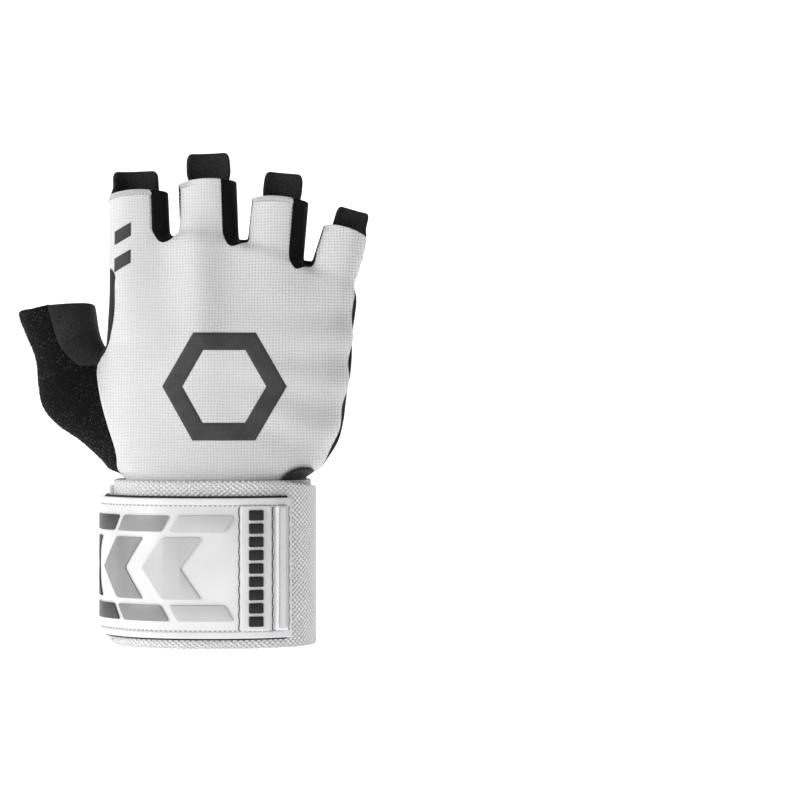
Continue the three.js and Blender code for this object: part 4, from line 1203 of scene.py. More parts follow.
def print_ink():
    """Dark grey print that lets the cloth's grid show a little."""
    made = Recipe("dark_print", grey(0.045), 0.7)
    places = made.places()
    x, _, z = made.split(places)
    pore = made.times(made.wave(x, MESH_WEAVE[0]), made.wave(z, MESH_WEAVE[1]))
    cloud = made.noise(places, 6.0, 3.0)
    shade = made.plus(made.times(pore, 0.3), cloud)
    made.colour(made.blend(made.between(shade, 0.3, 0.9), grey(0.036), grey(0.062)))
    made.bump(pore, 0.3, 0.12)
    return made.material


def label_cloth():
    """Black folded tape with a slight shine."""
    made = Recipe("label_tape", grey(0.006), 0.55, specular_ior_level=0.3)
    ribs = made.wave(made.split(made.places())[2], 0.5)
    made.colour(made.blend(ribs, grey(0.003), grey(0.009)))
    made.bump(ribs, 0.3, 0.08)
    return made.material


def mix_materials():
    materials.update(
        white=mesh_cloth(),
        suede=suede_cloth(),
        gusset=gusset_cloth(),
        terry=terry_cloth(),
        knit=knit_cloth(),
        hook=hook_cloth(),
        rubber=moulded("white_rubber", 0.87),
        light=moulded("light_grey_rubber", 0.62),
        middle=moulded("mid_grey_rubber", 0.3),
        dark=moulded("dark_grey_rubber", 0.055),
        black=moulded("black_rubber", 0.006, 0.6),
        white_thread=thread("white_thread", 0.82),
        grey_thread=thread("grey_thread", 0.45),
        # The black thread also colours the dark lines of painted shade in the grooves beside the closure's
        # plate and rib.
        black_thread=thread("black_thread", 0.012),
        fleck=thread("towelling_fleck", 0.05),
        ink=print_ink(),
        white_ink=moulded("white_print", 0.75, 0.7),
        label=label_cloth(),
    )


# Places on the wrap and its closure


def wrist_out(angle):
    """Points on the wrist's oval by degrees, and the ways straight out of it."""
    a = np.radians(np.asarray(angle, float))
    power = 2 / ROUNDNESS
    x = np.sign(np.cos(a)) * np.abs(np.cos(a)) ** power
    y = np.sign(np.sin(a)) * np.abs(np.sin(a)) ** power
    out_x = np.sign(x) * np.abs(x) ** (ROUNDNESS - 1) / (WRIST_WIDTH / 2)
    out_y = np.sign(y) * np.abs(y) ** (ROUNDNESS - 1) / (WRIST_DEPTH / 2)
    out = unit(np.stack([out_x, out_y, 0 * x], -1))
    return np.stack([x * WRIST_WIDTH / 2, y * WRIST_DEPTH / 2, 0 * x], -1), out


def wrist_point(angle, offset, height):
    """A point beside the wrist: 0 degrees is the little-finger side, 90 the palm, 270 the back."""
    angle, offset, height = np.broadcast_arrays(angle, offset, height)
    at, out = wrist_out(angle)
    at = at + out * offset[..., None]
    at[..., 2] = height
    return at


BAND_START = BAND_END - BAND_TURNS * 360


def band_offset(angle):
    """Height of the band's inner face above the wrist, by degrees along its spiral."""
    return LAY_GAP + (BAND_CLOTH + LAY_GAP) * (angle - BAND_START) / 360


def band_drop(angle):
    """How far the band's upper edge has dropped to the palm side, as a share."""
    return ramp(-70, 60, angle) - 0.5 * ramp(110, BAND_END, angle)


def tape_base(angle):
    """Height of the hook tape's inner face above the wrist, down a step past the band's end."""
    on_end = band_offset(angle) + BAND_CLOTH + LAY_GAP
    return on_end - ramp(BAND_END + 8, BAND_END + 34, angle) * (BAND_CLOTH + LAY_GAP)


track_angles = np.linspace(100, 330, 921)
track = wrist_point(track_angles, tape_base(track_angles) + TAPE_THICKNESS, 0)
square_end = int(np.argmax((track_angles > 200) & (track[:, 0] > CLOSURE_END)))
track_runs = run_along(track[square_end::-1])
track_angles = track_angles[square_end::-1]
CLOSURE_MIDDLE = CLOSURE_BASE + CLOSURE_HEIGHT / 2
PATCH_TOP = TAPE_THICKNESS + LAY_GAP + PATCH_THICKNESS


def on_closure(distance, height, level):
    """A point on the closure: distance back from its square end, height, and level above the wrap."""
    angle = np.interp(distance, track_runs, track_angles)
    start = track_angles[0] + (track_angles[0] - track_angles[1]) / track_runs[1] * -np.minimum(distance, 0)
    angle = np.where(distance < 0, start, angle)
    return wrist_point(angle, tape_base(angle) + level, height)


def pointed_end(height, inset=0.0):
    """How far back the patch's tapered end reaches at a height."""
    off = np.abs(height - CLOSURE_MIDDLE)
    blunt = PATCH_TIP / 2 - inset * 0.4
    full = CLOSURE_HEIGHT / 2 - inset
    return PATCH_LENGTH - inset - PATCH_POINT * np.clip((off - blunt) / (full - blunt), 0, 1) ** 1.15


def flat_sheet(rows):
    """A sheet for a wrapped band: flat places are the run round the wrist and the height."""
    flat = np.stack([np.broadcast_to(run_along(rows[0]), rows.shape[:2]), rows[..., 2]], -1)
    sheet = Sheet()
    sheet.grid(rows, flat)
    return sheet


# Moulded pieces: modelled flat, X back along the closure and Y up it, and then wrapped on the wrist


def select_only(piece):
    for other in bpy.context.selected_objects:
        other.select_set(False)
    piece.select_set(True)
    bpy.context.view_layer.objects.active = piece


def flat_plate(name, outline, steps, corner):
    """A plate over an outline. Each step goes inwards and up from the last edge of its top."""
    bpy.ops.object.select_all(action="DESELECT")
    bpy.ops.mesh.primitive_circle_add(vertices=len(outline), radius=50, fill_type="NGON", location=(0, 0, 0))
    plate = bpy.context.object
    plate.name = plate.data.name = name
    for vertex, (x, y) in zip(plate.data.vertices, outline):
        vertex.co = (x, y, 0)
    bpy.ops.object.mode_set(mode="EDIT")
    bpy.ops.mesh.select_all(action="SELECT")
    bpy.ops.mesh.normals_make_consistent(inside=False)
    if corner:
        bpy.ops.mesh.bevel(offset=corner, segments=4, affect="VERTICES", clamp_overlap=False)
        bpy.ops.mesh.select_all(action="SELECT")
    if plate.data.polygons[0].normal.z < 0:
        bpy.ops.mesh.flip_normals()
    bpy.ops.mesh.extrude_region_move(TRANSFORM_OT_translate={"value": (0, 0, steps[0][1])})
    for inwards, up in steps[1:]:
        bpy.ops.mesh.inset(thickness=inwards, depth=up)
    bpy.ops.object.mode_set(mode="OBJECT")
    return plate


def round_edge(height, radius, steps=3):
    """Steps for a plate of a height whose upper edge is rounded."""
    turns = [math.pi / 2 * k / steps for k in range(steps + 1)]
    made = [(0.0, height - radius)]
    for a, b in zip(turns, turns[1:]):
        made.append((radius * (math.cos(a) - math.cos(b)), radius * (math.sin(b) - math.sin(a))))
    return made


def vertex_places(piece):
    at = np.zeros(len(piece.data.vertices) * 3)
    piece.data.vertices.foreach_get("co", at)
    return at.reshape(-1, 3)


def wrap_on(piece, level, pitch=1.5):
    """Cuts a flat piece crosswise, bends it round the wrist at a level above the wrap and smooths it."""
    across = vertex_places(piece)[:, 0]
    low, high = across.min(), across.max()
    count = max(int((high - low) / pitch), 1)
    select_only(piece)
    bpy.ops.object.mode_set(mode="EDIT")
    for x in np.linspace(low, high, count + 1)[1:-1]:
        bpy.ops.mesh.select_all(action="SELECT")
        bpy.ops.mesh.bisect(plane_co=(x, 0, 0), plane_no=(1, 0, 0))
    bpy.ops.object.mode_set(mode="OBJECT")
    at = vertex_places(piece)
    wrapped = on_closure(at[:, 0], at[:, 1], level + at[:, 2]) * MM
    piece.data.vertices.foreach_set("co", wrapped.ravel())
    piece.data.update()
    select_only(piece)
    bpy.ops.object.mode_set(mode="EDIT")
    bpy.ops.mesh.select_all(action="SELECT")
    bpy.ops.mesh.normals_make_consistent(inside=False)
    bpy.ops.object.mode_set(mode="OBJECT")
    bpy.ops.object.shade_smooth_by_angle(angle=math.radians(40))


def set_piece(name, outline, steps, corner, level, look, slot, *nodes):
    """Makes a moulded piece: a flat plate, wrapped at its level and put in its place."""
    piece = flat_plate(name, outline, steps, corner)
    wrap_on(piece, level)
    place(piece, materials[look], slot, *nodes)


def rectangle(x_low, x_high, y_low, y_high, lean=0.0):
    return [(x_low + lean, y_low), (x_high + lean, y_low), (x_high - lean, y_high), (x_low - lean, y_high)]


# Reliefs of the cloths


def bell(off, width):
    """From 1 at no distance down to 0, over about a width."""
    return np.exp(-((off / width) ** 2))


def line_distance(x, z, line):
    """Distance of places from a line through corners."""
    p = np.stack([x, z], -1)
    best = np.full(len(p), 1e9)
    corners = np.array(line, float)
    for a, b in zip(corners, corners[1:]):
        t = np.clip((p - a) @ (b - a) / ((b - a) @ (b - a)), 0, 1)
        best = np.minimum(best, np.linalg.norm(p - a - t[:, None] * (b - a), axis=1))
    return best


def soft_noise(points, size, seed=0):
    """A smooth uneven field from -1 to 1 with features of about the given size."""
    rng = np.random.default_rng(seed)
    total = np.zeros(len(points))
    for _ in range(7):
        way = unit(rng.normal(size=3))
        total += np.sin(points @ way * (2 * math.pi / size) * rng.uniform(0.7, 1.5) + rng.uniform(0, 6.28))
    return total / 4


def spread_out(line):
    """A table of shares as places in millimetres, seen from the front or back."""
    table = np.array(line, float)
    return np.stack([table[:, 0] * PALM_WIDTH, at_rise(table[:, 1])], 1)


def trees_of(*names):
    """Search trees of finished cloths, by their names."""
    depsgraph = bpy.context.evaluated_depsgraph_get()
    return [BVHTree.FromObject(bpy.data.objects[name], depsgraph) for name in names]


def on_cloth(trees, side, x, z, lift=0.0):
    """Points and normals on finished cloths, seen from the back (side -1) or the palm (side 1)."""
    points, normals = [], []
    for at_x, at_z in zip(np.ravel(x), np.ravel(z)):
        hits = [tree.ray_cast((at_x * MM, side * 0.06, at_z * MM), (0, -side, 0)) for tree in trees]
        hits = [hit for hit in hits if hit[0] is not None]
        if hits:
            hit = min(hits, key=lambda one: one[3])
            points.append(np.array(hit[0]) / MM)
            normals.append(np.array(hit[1]))
        else:
            points.append(np.full(3, np.nan))
            normals.append(np.array((0, side, 0)))
    points, normals = np.array(points), np.array(normals)
    return points + normals * lift, normals


def sewn_line(name, trees, side, line, pitch, dash, width, height, sway=0.0):
    """A row of stitches along a line on finished cloths."""
    corners = spread_out(line)
    rough = smooth_line(corners, 60)
    length = np.linalg.norm(np.diff(rough, axis=0), axis=1).sum()
    even = smooth_line(corners, max(int(length / pitch), 2))
    points, normals = on_cloth(trees, side, even[:, 0], even[:, 1], height * 0.15)
    ends = np.isfinite(points[:-1, 0]) & np.isfinite(points[1:, 0])
    ends &= np.linalg.norm(points[1:] - points[:-1], axis=1) < 3 * pitch
    along = (points[1:] - points[:-1])[ends]
    centres = ((points[1:] + points[:-1]) / 2)[ends]
    up = normals[:-1][ends]
    if sway:
        aside = unit(np.cross(up, unit(along)))
        along = unit(along) + aside * (sway * (-1.0) ** np.arange(len(along)))[:, None]
    return stitches(name, centres, along, up, dash, width, height)


def run_of_stitches(name, line, pitch, dash, width, height):
    """Stitches along points that lie on the hand's surface."""
    run = run_along(line)
    at = np.arange(pitch / 2, run[-1], pitch)
    centres, ahead = (np.stack([np.interp(at + d, run, line[:, k]) for k in range(3)], 1) for d in (0, 0.1))
    along = ahead - centres
    up = outward(centres)
    return stitches(name, centres + up * 0.1, along, up, dash, width, height)


def zigzag(name, upper, lower, width, height, lift=0.1):
    """Thread laid to and fro between two rows of points."""
    nodes = np.empty((len(upper) * 2, 3))
    nodes[0::2], nodes[1::2] = upper, lower
    centres, along = (nodes[1:] + nodes[:-1]) / 2, nodes[1:] - nodes[:-1]
    up = outward(centres)
    return stitches(name, centres + up * lift, along, up, np.linalg.norm(along, axis=1), width, height)


def merge(name, parts):
    """Joins mesh objects into one."""
    bpy.ops.object.select_all(action="DESELECT")
    for part in parts:
        part.select_set(True)
    bpy.context.view_layer.objects.active = parts[0]
    if len(parts) > 1:
        bpy.ops.object.join()
    parts[0].name = parts[0].data.name = name
    return parts[0]


def laid_print(name, trees, side, rows, closed=False, thickness=0.12):
    """A thin print over a finished cloth, from rows of places seen from the front or back."""
    rows = np.array(rows, float)
    points, normals = on_cloth(trees, side, rows[..., 0], rows[..., 1], thickness)
    sheet = Sheet()
    ids = sheet.add(points, rows.reshape(-1, 2)).reshape(rows.shape[:2])
    if closed:
        ids = np.column_stack([ids, ids[:, 0]])
    sheet.cells.append(cells_of(ids))
    return wall_of(name, sheet, thickness, normals=normals, gap=0)


def filled(corners, cells=8):
    """Rows of places that fill a four-cornered outline."""
    a, b, c, d = spread_out(corners)
    u = np.linspace(0, 1, cells + 1)[None, :, None]
    v = np.linspace(0, 1, cells + 1)[:, None, None]
    return mix(mix(a, b, u), mix(d, c, u), v)


def length_setting(name, description, millimetres):
    """A length in the sidebar."""
    return FloatProperty(name=name, description=description, default=millimetres * MM, unit="LENGTH")


class GloveCloth(bpy.types.PropertyGroup):
    """Thicknesses and folds of the cloths"""

    mesh_thickness: length_setting("Mesh", "Thickness of the white mesh", 1.3)
    suede_thickness: length_setting("Suede", "Thickness of the suede", 1.6)
    gusset_thickness: length_setting("Gusset cloth", "Thickness of the stretch cloth", 1.1)
    towelling_thickness: length_setting("Towelling", "Thickness of the towelling", 2.0)
    fold_depth: length_setting("Fold depth", "Depth of the soft folds on the back", 1.5)
    puff: length_setting("Puff", "Rise of the palm between quilting lines", 0.6)


class GLOVE_OT_back(bpy.types.Operator):
    """Make the white mesh back with its finger sleeves"""

    bl_idname = "glove.back"
    bl_label = "Back"

    def execute(self, context):
        cloth = context.scene.glove_cloth
        depth = cloth.fold_depth / MM

        def relief(points):
            x, z = points[:, 0], points[:, 2]
            low_right = ramp(4, 34, x) * bell(z - 100, 22)
            folds = np.sin((z + 0.3 * x) / 2.6 + 1.2 * soft_noise(points, 40, 3)) * low_right
            ridge = bell(x + 4 + 0.06 * (z - 120), 8) * ramp(106, 124, z) * (1 - ramp(158, 176, z))
            side = np.sin((z - 0.2 * x) / 3.4) * ramp(24, 46, x) * bell(z - 128, 16)
            uneven = soft_noise(points, 34, 5) * ramp(66, 76, z)
            return depth * (0.4 * folds + 0.35 * side + 0.35 * uneven + 1.7 * ridge)

        piece = wall_of("glove_back", combed_back[0], cloth.mesh_thickness / MM, relief)
        place(piece, materials["white"], "white_mesh", "back_panel")
        declare(combed_back[0])
        return {"FINISHED"}


class GLOVE_OT_palm(bpy.types.Operator):
    """Make the suede palm with its quilting and pull tabs"""

    bl_idname = "glove.palm"
    bl_label = "Palm"

    def execute(self, context):
        cloth = context.scene.glove_cloth
        puff = cloth.puff / MM
        lines = [spread_out(line) for line in QUILTING]

        def relief(points):
            x, z = points[:, 0], points[:, 2]
            off = np.min([line_distance(x, z, line) for line in lines], axis=0)
            inside = ramp(66, 78, z) * (1 - ramp(152, 166, z))
            bases = bell(z - 158 + 0.16 * x * (x > 0), 5) * np.sin(z / 0.9 + soft_noise(points, 22, 8) * 1.5)
            rise = puff * (1 - bell(off, 6.0)) - 0.45 * bell(off, 0.9)
            return inside * rise + 0.22 * bases + 0.18 * soft_noise(points, 18, 11) * ramp(66, 76, z)

        piece = wall_of("glove_palm", combed_palm[0], cloth.suede_thickness / MM, relief)
        place(piece, materials["suede"], "suede", "palm_panel")
        declare(combed_palm[0])
        return {"FINISHED"}


class GLOVE_OT_fourchettes(bpy.types.Operator):
    """Make the stretch strips between the fingers"""

    bl_idname = "glove.fourchettes"
    bl_label = "Fourchettes"

    def execute(self, context):
        cloth = context.scene.glove_cloth
        for i, name in enumerate(("index_middle", "middle_ring", "ring_little")):
            sheet = sheet_of(fourchette_rows(i))
            piece = wall_of("glove_fourchette_" + name, sheet, cloth.gusset_thickness / MM)
            place(piece, materials["gusset"], "gusset_cloth", "fourchette_" + name)
            declare(sheet)
        return {"FINISHED"}


class GLOVE_OT_thumb(bpy.types.Operator):
    """Make the thumb: gusset, towelling back and suede palm side"""

    bl_idname = "glove.thumb"
    bl_label = "Thumb"

    def execute(self, context):
        cloth = context.scene.glove_cloth
        strip = sheet_of(gusset_rows())
        gusset = wall_of("glove_thumb_gusset", strip, cloth.gusset_thickness / MM)
        place(gusset, materials["suede"], "gusset_cloth", "thumb_gusset")
        declare(strip)
        back = fill_patch(
            wrist_run(seam_wrist_to_web[0], seam_thumb_front[0], CELLS_THUMB),
            thumb_hem(THUMB_SEAM_BACK, THUMB_SEAM_FRONT),
            join(seam_wrist_to_web, seam_thumb_back),
            seam_thumb_front,
            lay_on_thumb((-1, -0.2, 0)),
        )

        def loops(points):
            return 0.12 * soft_noise(points, 1.9, 2) + 0.18 * soft_noise(points, 9, 4)

        outer_side = sheet_of(tucked(back))
        towelling = wall_of("glove_thumb_back", outer_side, cloth.towelling_thickness / MM, loops)
        place(towelling, materials["terry"], "towelling", "thumb_back_panel")
        declare(outer_side)
        palm = fill_patch(
            wrist_run(seam_thumb_front[0], seam_palm_to_thumb[0], CELLS_THUMB),
            thumb_hem(THUMB_SEAM_FRONT, THUMB_SEAM_WEB + 360),
            seam_thumb_front,
            join(seam_palm_to_thumb, seam_thumb_web),
            lay_on_thumb((0, 0.6, 0)),
        )
        inner_side = sheet_of(tucked(palm))
        suede = wall_of("glove_thumb_palm", inner_side, cloth.suede_thickness / MM)
        place(suede, materials["suede"], "suede", "thumb_palm_panel")
        declare(inner_side)
        return {"FINISHED"}


def tube(name, line, radius, sides=8):
    """A closed round tube along a line of points."""
    along = unit(np.gradient(line, axis=0))
    up = unit(np.cross(along, unit(np.cross(outward(line), along))))
    aside = np.cross(along, up)
    turn = np.arange(sides) * 2 * math.pi / sides
    ring = np.cos(turn)[None, :, None] * aside[:, None] + np.sin(turn)[None, :, None] * up[:, None]
    points = (line[:, None] + radius * ring).reshape(-1, 3)
    side, after = np.arange(sides), (np.arange(sides) + 1) % sides
    quad = np.stack([side, side + sides, after + sides, after], 1)
    faces = (quad[None] + (np.arange(len(line) - 1) * sides)[:, None, None]).reshape(-1, 4).tolist()
    faces += [list(side), list(side[::-1] + (len(line) - 1) * sides)]
    return object_of(name, points, faces)


class GLOVE_OT_seams(bpy.types.Operator):
    """Lay the turned-in seam allowances behind the seams"""

    bl_idname = "glove.seams"
    bl_label = "Seams"

    def execute(self, context):
        runs = [
            join(seam_wrist_to_web, seam_thumb_back),
            join(seam_web_to_strap, seam_strap_to_finger),
            join(seam_palm_to_thumb, seam_thumb_web),
            seam_crotch_to_strap,
            seam_thumb_front,
            seam_little_edge,
        ]
        for points in (back_fingers, palm_fingers):
            for i in range(last):
                runs += [points[i][:, -1], points[i + 1][:, 0]]
        welts = []
        for run in runs:
            low = run[run[:, 2] > MOUTH - 1]
            welts.append(tube("glove_seam_and_groove_shade", settle(low, -1.0), 0.6))
        place(merge("glove_seam_welts", welts), materials["black_thread"], "gusset_cloth")
        return {"FINISHED"}


class GLOVE_OT_wrap(bpy.types.Operator):
    """Wind the knitted wrist wrap"""

    bl_idname = "glove.wrap"
    bl_label = "Wrist wrap"

    def execute(self, context):
        angles = np.linspace(BAND_START, BAND_END, int(BAND_TURNS * 240) + 1)
        share = np.linspace(0, 1, 61)[:, None]
        low = mix(BAND_FOOT, 0, band_drop(angles))[None]
        high = (RIM_HEIGHT - BAND_DROP * band_drop(angles))[None]
        rows = wrist_point(angles[None], band_offset(angles)[None] + BAND_CLOTH, mix(low, high, share))
        normals = np.broadcast_to(wrist_out(angles)[1], rows.shape).reshape(-1, 3)
        sheet = flat_sheet(rows)
        piece = wall_of("glove_wrap", sheet, BAND_CLOTH, normals=normals, gap=0)
        place(piece, materials["knit"], "knitted_band", "wrist_wrap")
        declare(sheet)
        return {"FINISHED"}


class GLOVE_OT_closure(bpy.types.Operator):
    """Make the hook tape and the moulded closure patch on it"""

    bl_idname = "glove.closure"
    bl_label = "Closure"

    def execute(self, context):
        distance = np.linspace(TAPE_MARGIN, PATCH_LENGTH + TAPE_LEAD, 160)[None]
        low, high = CLOSURE_BASE, CLOSURE_BASE + CLOSURE_HEIGHT
        height = np.linspace(low - TAPE_MARGIN, high + TAPE_MARGIN, 40)[:, None]
        rows = on_closure(distance, height, TAPE_THICKNESS)
        _, normals = wrist_out(np.interp(distance, track_runs, track_angles))
        normals = np.broadcast_to(normals, rows.shape).reshape(-1, 3)
        strip = flat_sheet(rows)
        tape = wall_of("glove_hook_tape", strip, TAPE_THICKNESS, normals=normals, gap=0)
        place(tape, materials["hook"], "hook_tape", "hook_tape")
        declare(strip)

        turns = (low, CLOSURE_MIDDLE - PATCH_TIP / 2, CLOSURE_MIDDLE + PATCH_TIP / 2, high)
        outline = [(0, high), (0, low)] + [(pointed_end(z), z) for z in turns]
        groove = [(RIM_WIDTH - 1.2, 0.0), (0.35, -0.3), (0.5, 0.0), (0.35, 0.2)]
        steps = round_edge(PATCH_THICKNESS, 0.5) + groove
        level = TAPE_THICKNESS + LAY_GAP
        set_piece("glove_patch", outline, steps, 0, level, "rubber", "white_rubber", "closure_patch")
        inset = RIM_WIDTH + 0.6
        outer = [(pointed_end(z, 2.6), z) for z in (low + inset, turns[1], turns[2], high - inset)]
        half = CHEVRON_HALF * CLOSURE_HEIGHT
        tip = CHEVRONS[-1][1] * PATCH_LENGTH + 1.0
        lean = CHEVRON_LEAN * PATCH_LENGTH
        inner = [(tip - lean - 0.8, high - inset), (tip - lean, CLOSURE_MIDDLE + half), (tip, CLOSURE_MIDDLE)]
        inner += [(x, 2 * CLOSURE_MIDDLE - z) for x, z in reversed(inner[:2])]
        edge = round_edge(0.4, 0.2, 2)
        set_piece("glove_tip_field", outer + inner, edge, 0.6, PATCH_TOP - 0.2, "middle", "inlay_middle")
        return {"FINISHED"}


class GLOVE_OT_inlays(bpy.types.Operator):
    """Set the grey chevrons and bars on the closure patch"""

    bl_idname = "glove.inlays"
    bl_label = "Inlays"

    def execute(self, context):
        edge = round_edge(INLAY_RISE + INLAY_SINK, INLAY_EDGE, 2)
        level = PATCH_TOP + SEAT_GAP - INLAY_SINK
        half = CHEVRON_HALF * CLOSURE_HEIGHT
        lean = CHEVRON_LEAN * PATCH_LENGTH
        low, high = CLOSURE_MIDDLE - half, CLOSURE_MIDDLE + half
        for shade, tip, notch in CHEVRONS:
            tip_x, notch_x = tip * PATCH_LENGTH, notch * PATCH_LENGTH
            outline = [
                (notch_x, CLOSURE_MIDDLE),
                (notch_x - lean, high),
                (tip_x - lean, high),
                (tip_x, CLOSURE_MIDDLE),
                (tip_x - lean, low),
                (notch_x - lean, low),
            ]
            node = "chevron_" + shade
            set_piece("glove_" + node, outline, edge, CHEVRON_CORNER, level, shade, "inlay_" + shade, node)
        half = BAR_HALF * CLOSURE_HEIGHT
        for shade, start, end in BARS:
            for side, word in ((1, "upper"), (-1, "lower")):
                middle = CLOSURE_MIDDLE + side * BAR_LEVEL * CLOSURE_HEIGHT
                lean = side * BAR_LEAN * PATCH_LENGTH / 2
                low_x, high_x = start * PATCH_LENGTH, end * PATCH_LENGTH
                outline = rectangle(low_x, high_x, middle - half, middle + half, lean)
                node = f"bar_{word}_{shade}"
                set_piece("glove_" + node, outline, edge, BAR_CORNER, level, shade, "inlay_" + shade, node)
        return {"FINISHED"}


class GLOVE_OT_end_plate(bpy.types.Operator):
    """Set the raised plate with its studs and the rib at the closure's square end"""

    bl_idname = "glove.end_plate"
    bl_label = "End plate"

    def execute(self, context):
        low, high = CLOSURE_BASE + RIM_WIDTH, CLOSURE_BASE + CLOSURE_HEIGHT - RIM_WIDTH
        level = PATCH_TOP + SEAT_GAP - PLATE_SINK
        outline = rectangle(PLATE_FROM, PLATE_FROM + PLATE_WIDTH, low, high)
        edge = round_edge(PLATE_RISE + PLATE_SINK, 0.4)
        set_piece("glove_end_plate", outline, edge, 0.6, level, "rubber", "white_rubber", "end_plate")
        outline = rectangle(RIB_FROM, RIB_FROM + RIB_WIDTH, low, high)
        edge = round_edge(RIB_RISE + PLATE_SINK, 1.2, 5)
        set_piece("glove_end_rib", outline, edge, 0.9, level, "rubber", "white_rubber", "end_rib")
        pitch = (CLOSURE_HEIGHT - 2 * RIM_WIDTH) / (STUD_COUNT + 0.4)
        start = PLATE_FROM + (PLATE_WIDTH - STUD_LENGTH) / 2
        half = pitch * STUD_SHARE / 2
        edge = round_edge(STUD_RISE + PLATE_SINK, 0.3)
        for i in range(STUD_COUNT):
            middle = CLOSURE_MIDDLE + (i - (STUD_COUNT - 1) / 2) * pitch
            outline = rectangle(start, start + STUD_LENGTH, middle - half, middle + half)
            node = f"stud_{i + 1}"
            on_plate = level + PLATE_RISE + SEAT_GAP
            set_piece("glove_" + node, outline, edge, 0.5, on_plate, "black", "black_rubber", node)
        return {"FINISHED"}


class GLOVE_OT_label(bpy.types.Operator):
    """Sew in the half-round label above the wrap"""

    bl_idname = "glove.label"
    bl_label = "Label"

    def execute(self, context):
        t = np.linspace(0, 1, 13)
        rise = LABEL_RADIUS * np.sin(t * math.pi * 0.97 / 2)
        half = np.sqrt(LABEL_RADIUS**2 - rise**2) / (WRIST_DEPTH / 2)
        middle = math.radians(LABEL_PLACE)
        rows = [section_at(MOUTH + r, np.linspace(middle + h, middle - h, 17)) for r, h in zip(rise, half)]
        rows = settle(np.array(rows), LABEL_GAP + LABEL_THICKNESS)
        piece = wall_of("glove_label", sheet_of(rows), LABEL_THICKNESS, gap=0)
        place(piece, materials["label"], "label", "side_label")
        return {"FINISHED"}


class GloveThread(bpy.types.PropertyGroup):
    """Stitches, hems and fibres"""

    pitch: length_setting("Pitch", "From one stitch to the next", 2.2)
    dash: length_setting("Stitch", "Length of a stitch", 1.5)
    width: length_setting("Thread", "Width of the thread", 0.5)
    hem: length_setting("Hem", "Height of the overlocked hems", 2.3)
    fibres: IntProperty(name="Fibres", description="Pale fibres on the towelling", default=1800, min=0)


class GLOVE_OT_quilting(bpy.types.Operator):
    """Sew the white quilting lines and the thumb seam on the palm"""

    bl_idname = "glove.quilting"
    bl_label = "Quilting"

    def execute(self, context):
        thread_set = context.scene.glove_thread
        cloths = trees_of("glove_palm", "glove_thumb_palm")
        pitch, dash, width = (value / MM for value in (thread_set.pitch, thread_set.dash, thread_set.width))
        for name, lines, size in (
            ("glove_quilting", QUILTING, 1.0),
            ("glove_thumb_seam", (THUMB_SEAM,), 0.85),
            ("glove_thumb_rows", THUMB_ROWS, 0.9),
        ):
            rows = [
                sewn_line(f"{name}_{k}", cloths, 1, line, pitch * size, dash * size, width * size, 0.35)
                for k, line in enumerate(lines)
            ]
            place(merge(name, rows), materials["white_thread"], "white_mesh")
        return {"FINISHED"}


class GLOVE_OT_hems(bpy.types.Operator):
    """Overlock the finger ends of the back and stitch its edges"""

    bl_idname = "glove.hems"
    bl_label = "Hems"

    def execute(self, context):
        hem = context.scene.glove_thread.hem / MM
        rows, dots = [], []
        for i, finger in enumerate(fingers):
            thumb_side, little_side = back_angles[i]
            count = int(finger.half_width * 2.6 / 1.5)
            angle = np.linspace(thumb_side - 4, little_side + 4, count)
            top = back_hem(finger, angle)
            half_step = (angle[1] - angle[0]) / 2
            upper = finger.at(top - 0.5, angle)
            lower = finger.at(top - hem, angle + half_step)
            rows.append(zigzag(f"glove_hem_{i}", upper, lower, 0.4, 0.25))
            line = finger.at(top - hem, angle)
            dots.append(run_of_stitches(f"glove_dots_{i}", line, 1.3, 0.75, 0.42, 0.35))
        for i, points in enumerate(back_fingers):
            columns = [1] * (i > 0) + [-2] * (i < last)
            for column in columns:
                dots.append(run_of_stitches("glove_edge", points[:-4, column], 1.5, 0.8, 0.42, 0.35))
        place(merge("glove_hems", rows), materials["white_thread"], "white_mesh")
        place(merge("glove_edge_stitches", dots), materials["grey_thread"], "white_mesh")
        return {"FINISHED"}


class GLOVE_OT_borders(bpy.types.Operator):
    """Stitch the border of the closure patch, and lay dark lines of painted shade in the grooves beside its
    plate and rib
    """

    bl_idname = "glove.borders"
    bl_label = "Closure stitches"

    def execute(self, context):
        inset, level = RIM_WIDTH - 0.1, PATCH_TOP - 0.22
        low, high = CLOSURE_BASE + inset, CLOSURE_BASE + CLOSURE_HEIGHT - inset
        end = float(pointed_end(low, inset))
        border = []
        for height in (low, high):
            at = np.arange(inset, end, 1.9)
            a, b = on_closure(at, height, level), on_closure(at + 1.25, height, level)
            up = wrist_out(np.interp(at, track_runs, track_angles))[1]
            border.append(stitches("glove_border", (a + b) / 2, b - a, up, 1.25, 0.55, 0.4))
        place(merge("glove_border_stitches", border), materials["grey_thread"], "white_rubber")
        # Painted shade: these dark wavy lines stand in for the shade in the grooves beside the plate, between
        # plate and rib, and beside the rib.
        seams = []
        at = np.arange(low, high, 1.5)
        sway = 0.16 * np.sin(np.arange(len(at)) * 1.9)
        beside_plate, between = PLATE_FROM + PLATE_WIDTH + 0.55, (PLATE_FROM + RIB_FROM + RIB_WIDTH) / 2
        for distance in (beside_plate, between, RIB_FROM - 0.75):
            points = on_closure(distance + sway, at, PATCH_TOP + 0.08)
            up = wrist_out(np.interp(distance + sway, track_runs, track_angles))[1][:-1]
            along = points[1:] - points[:-1]
            length = np.linalg.norm(along, axis=1) + 0.25
            seams.append(stitches("glove_seam_and_groove_shade", (points[1:] + points[:-1]) / 2, along, up, length, 0.42, 0.3))
        place(merge("glove_plate_groove_shade", seams), materials["black_thread"], "black_rubber")
        return {"FINISHED"}


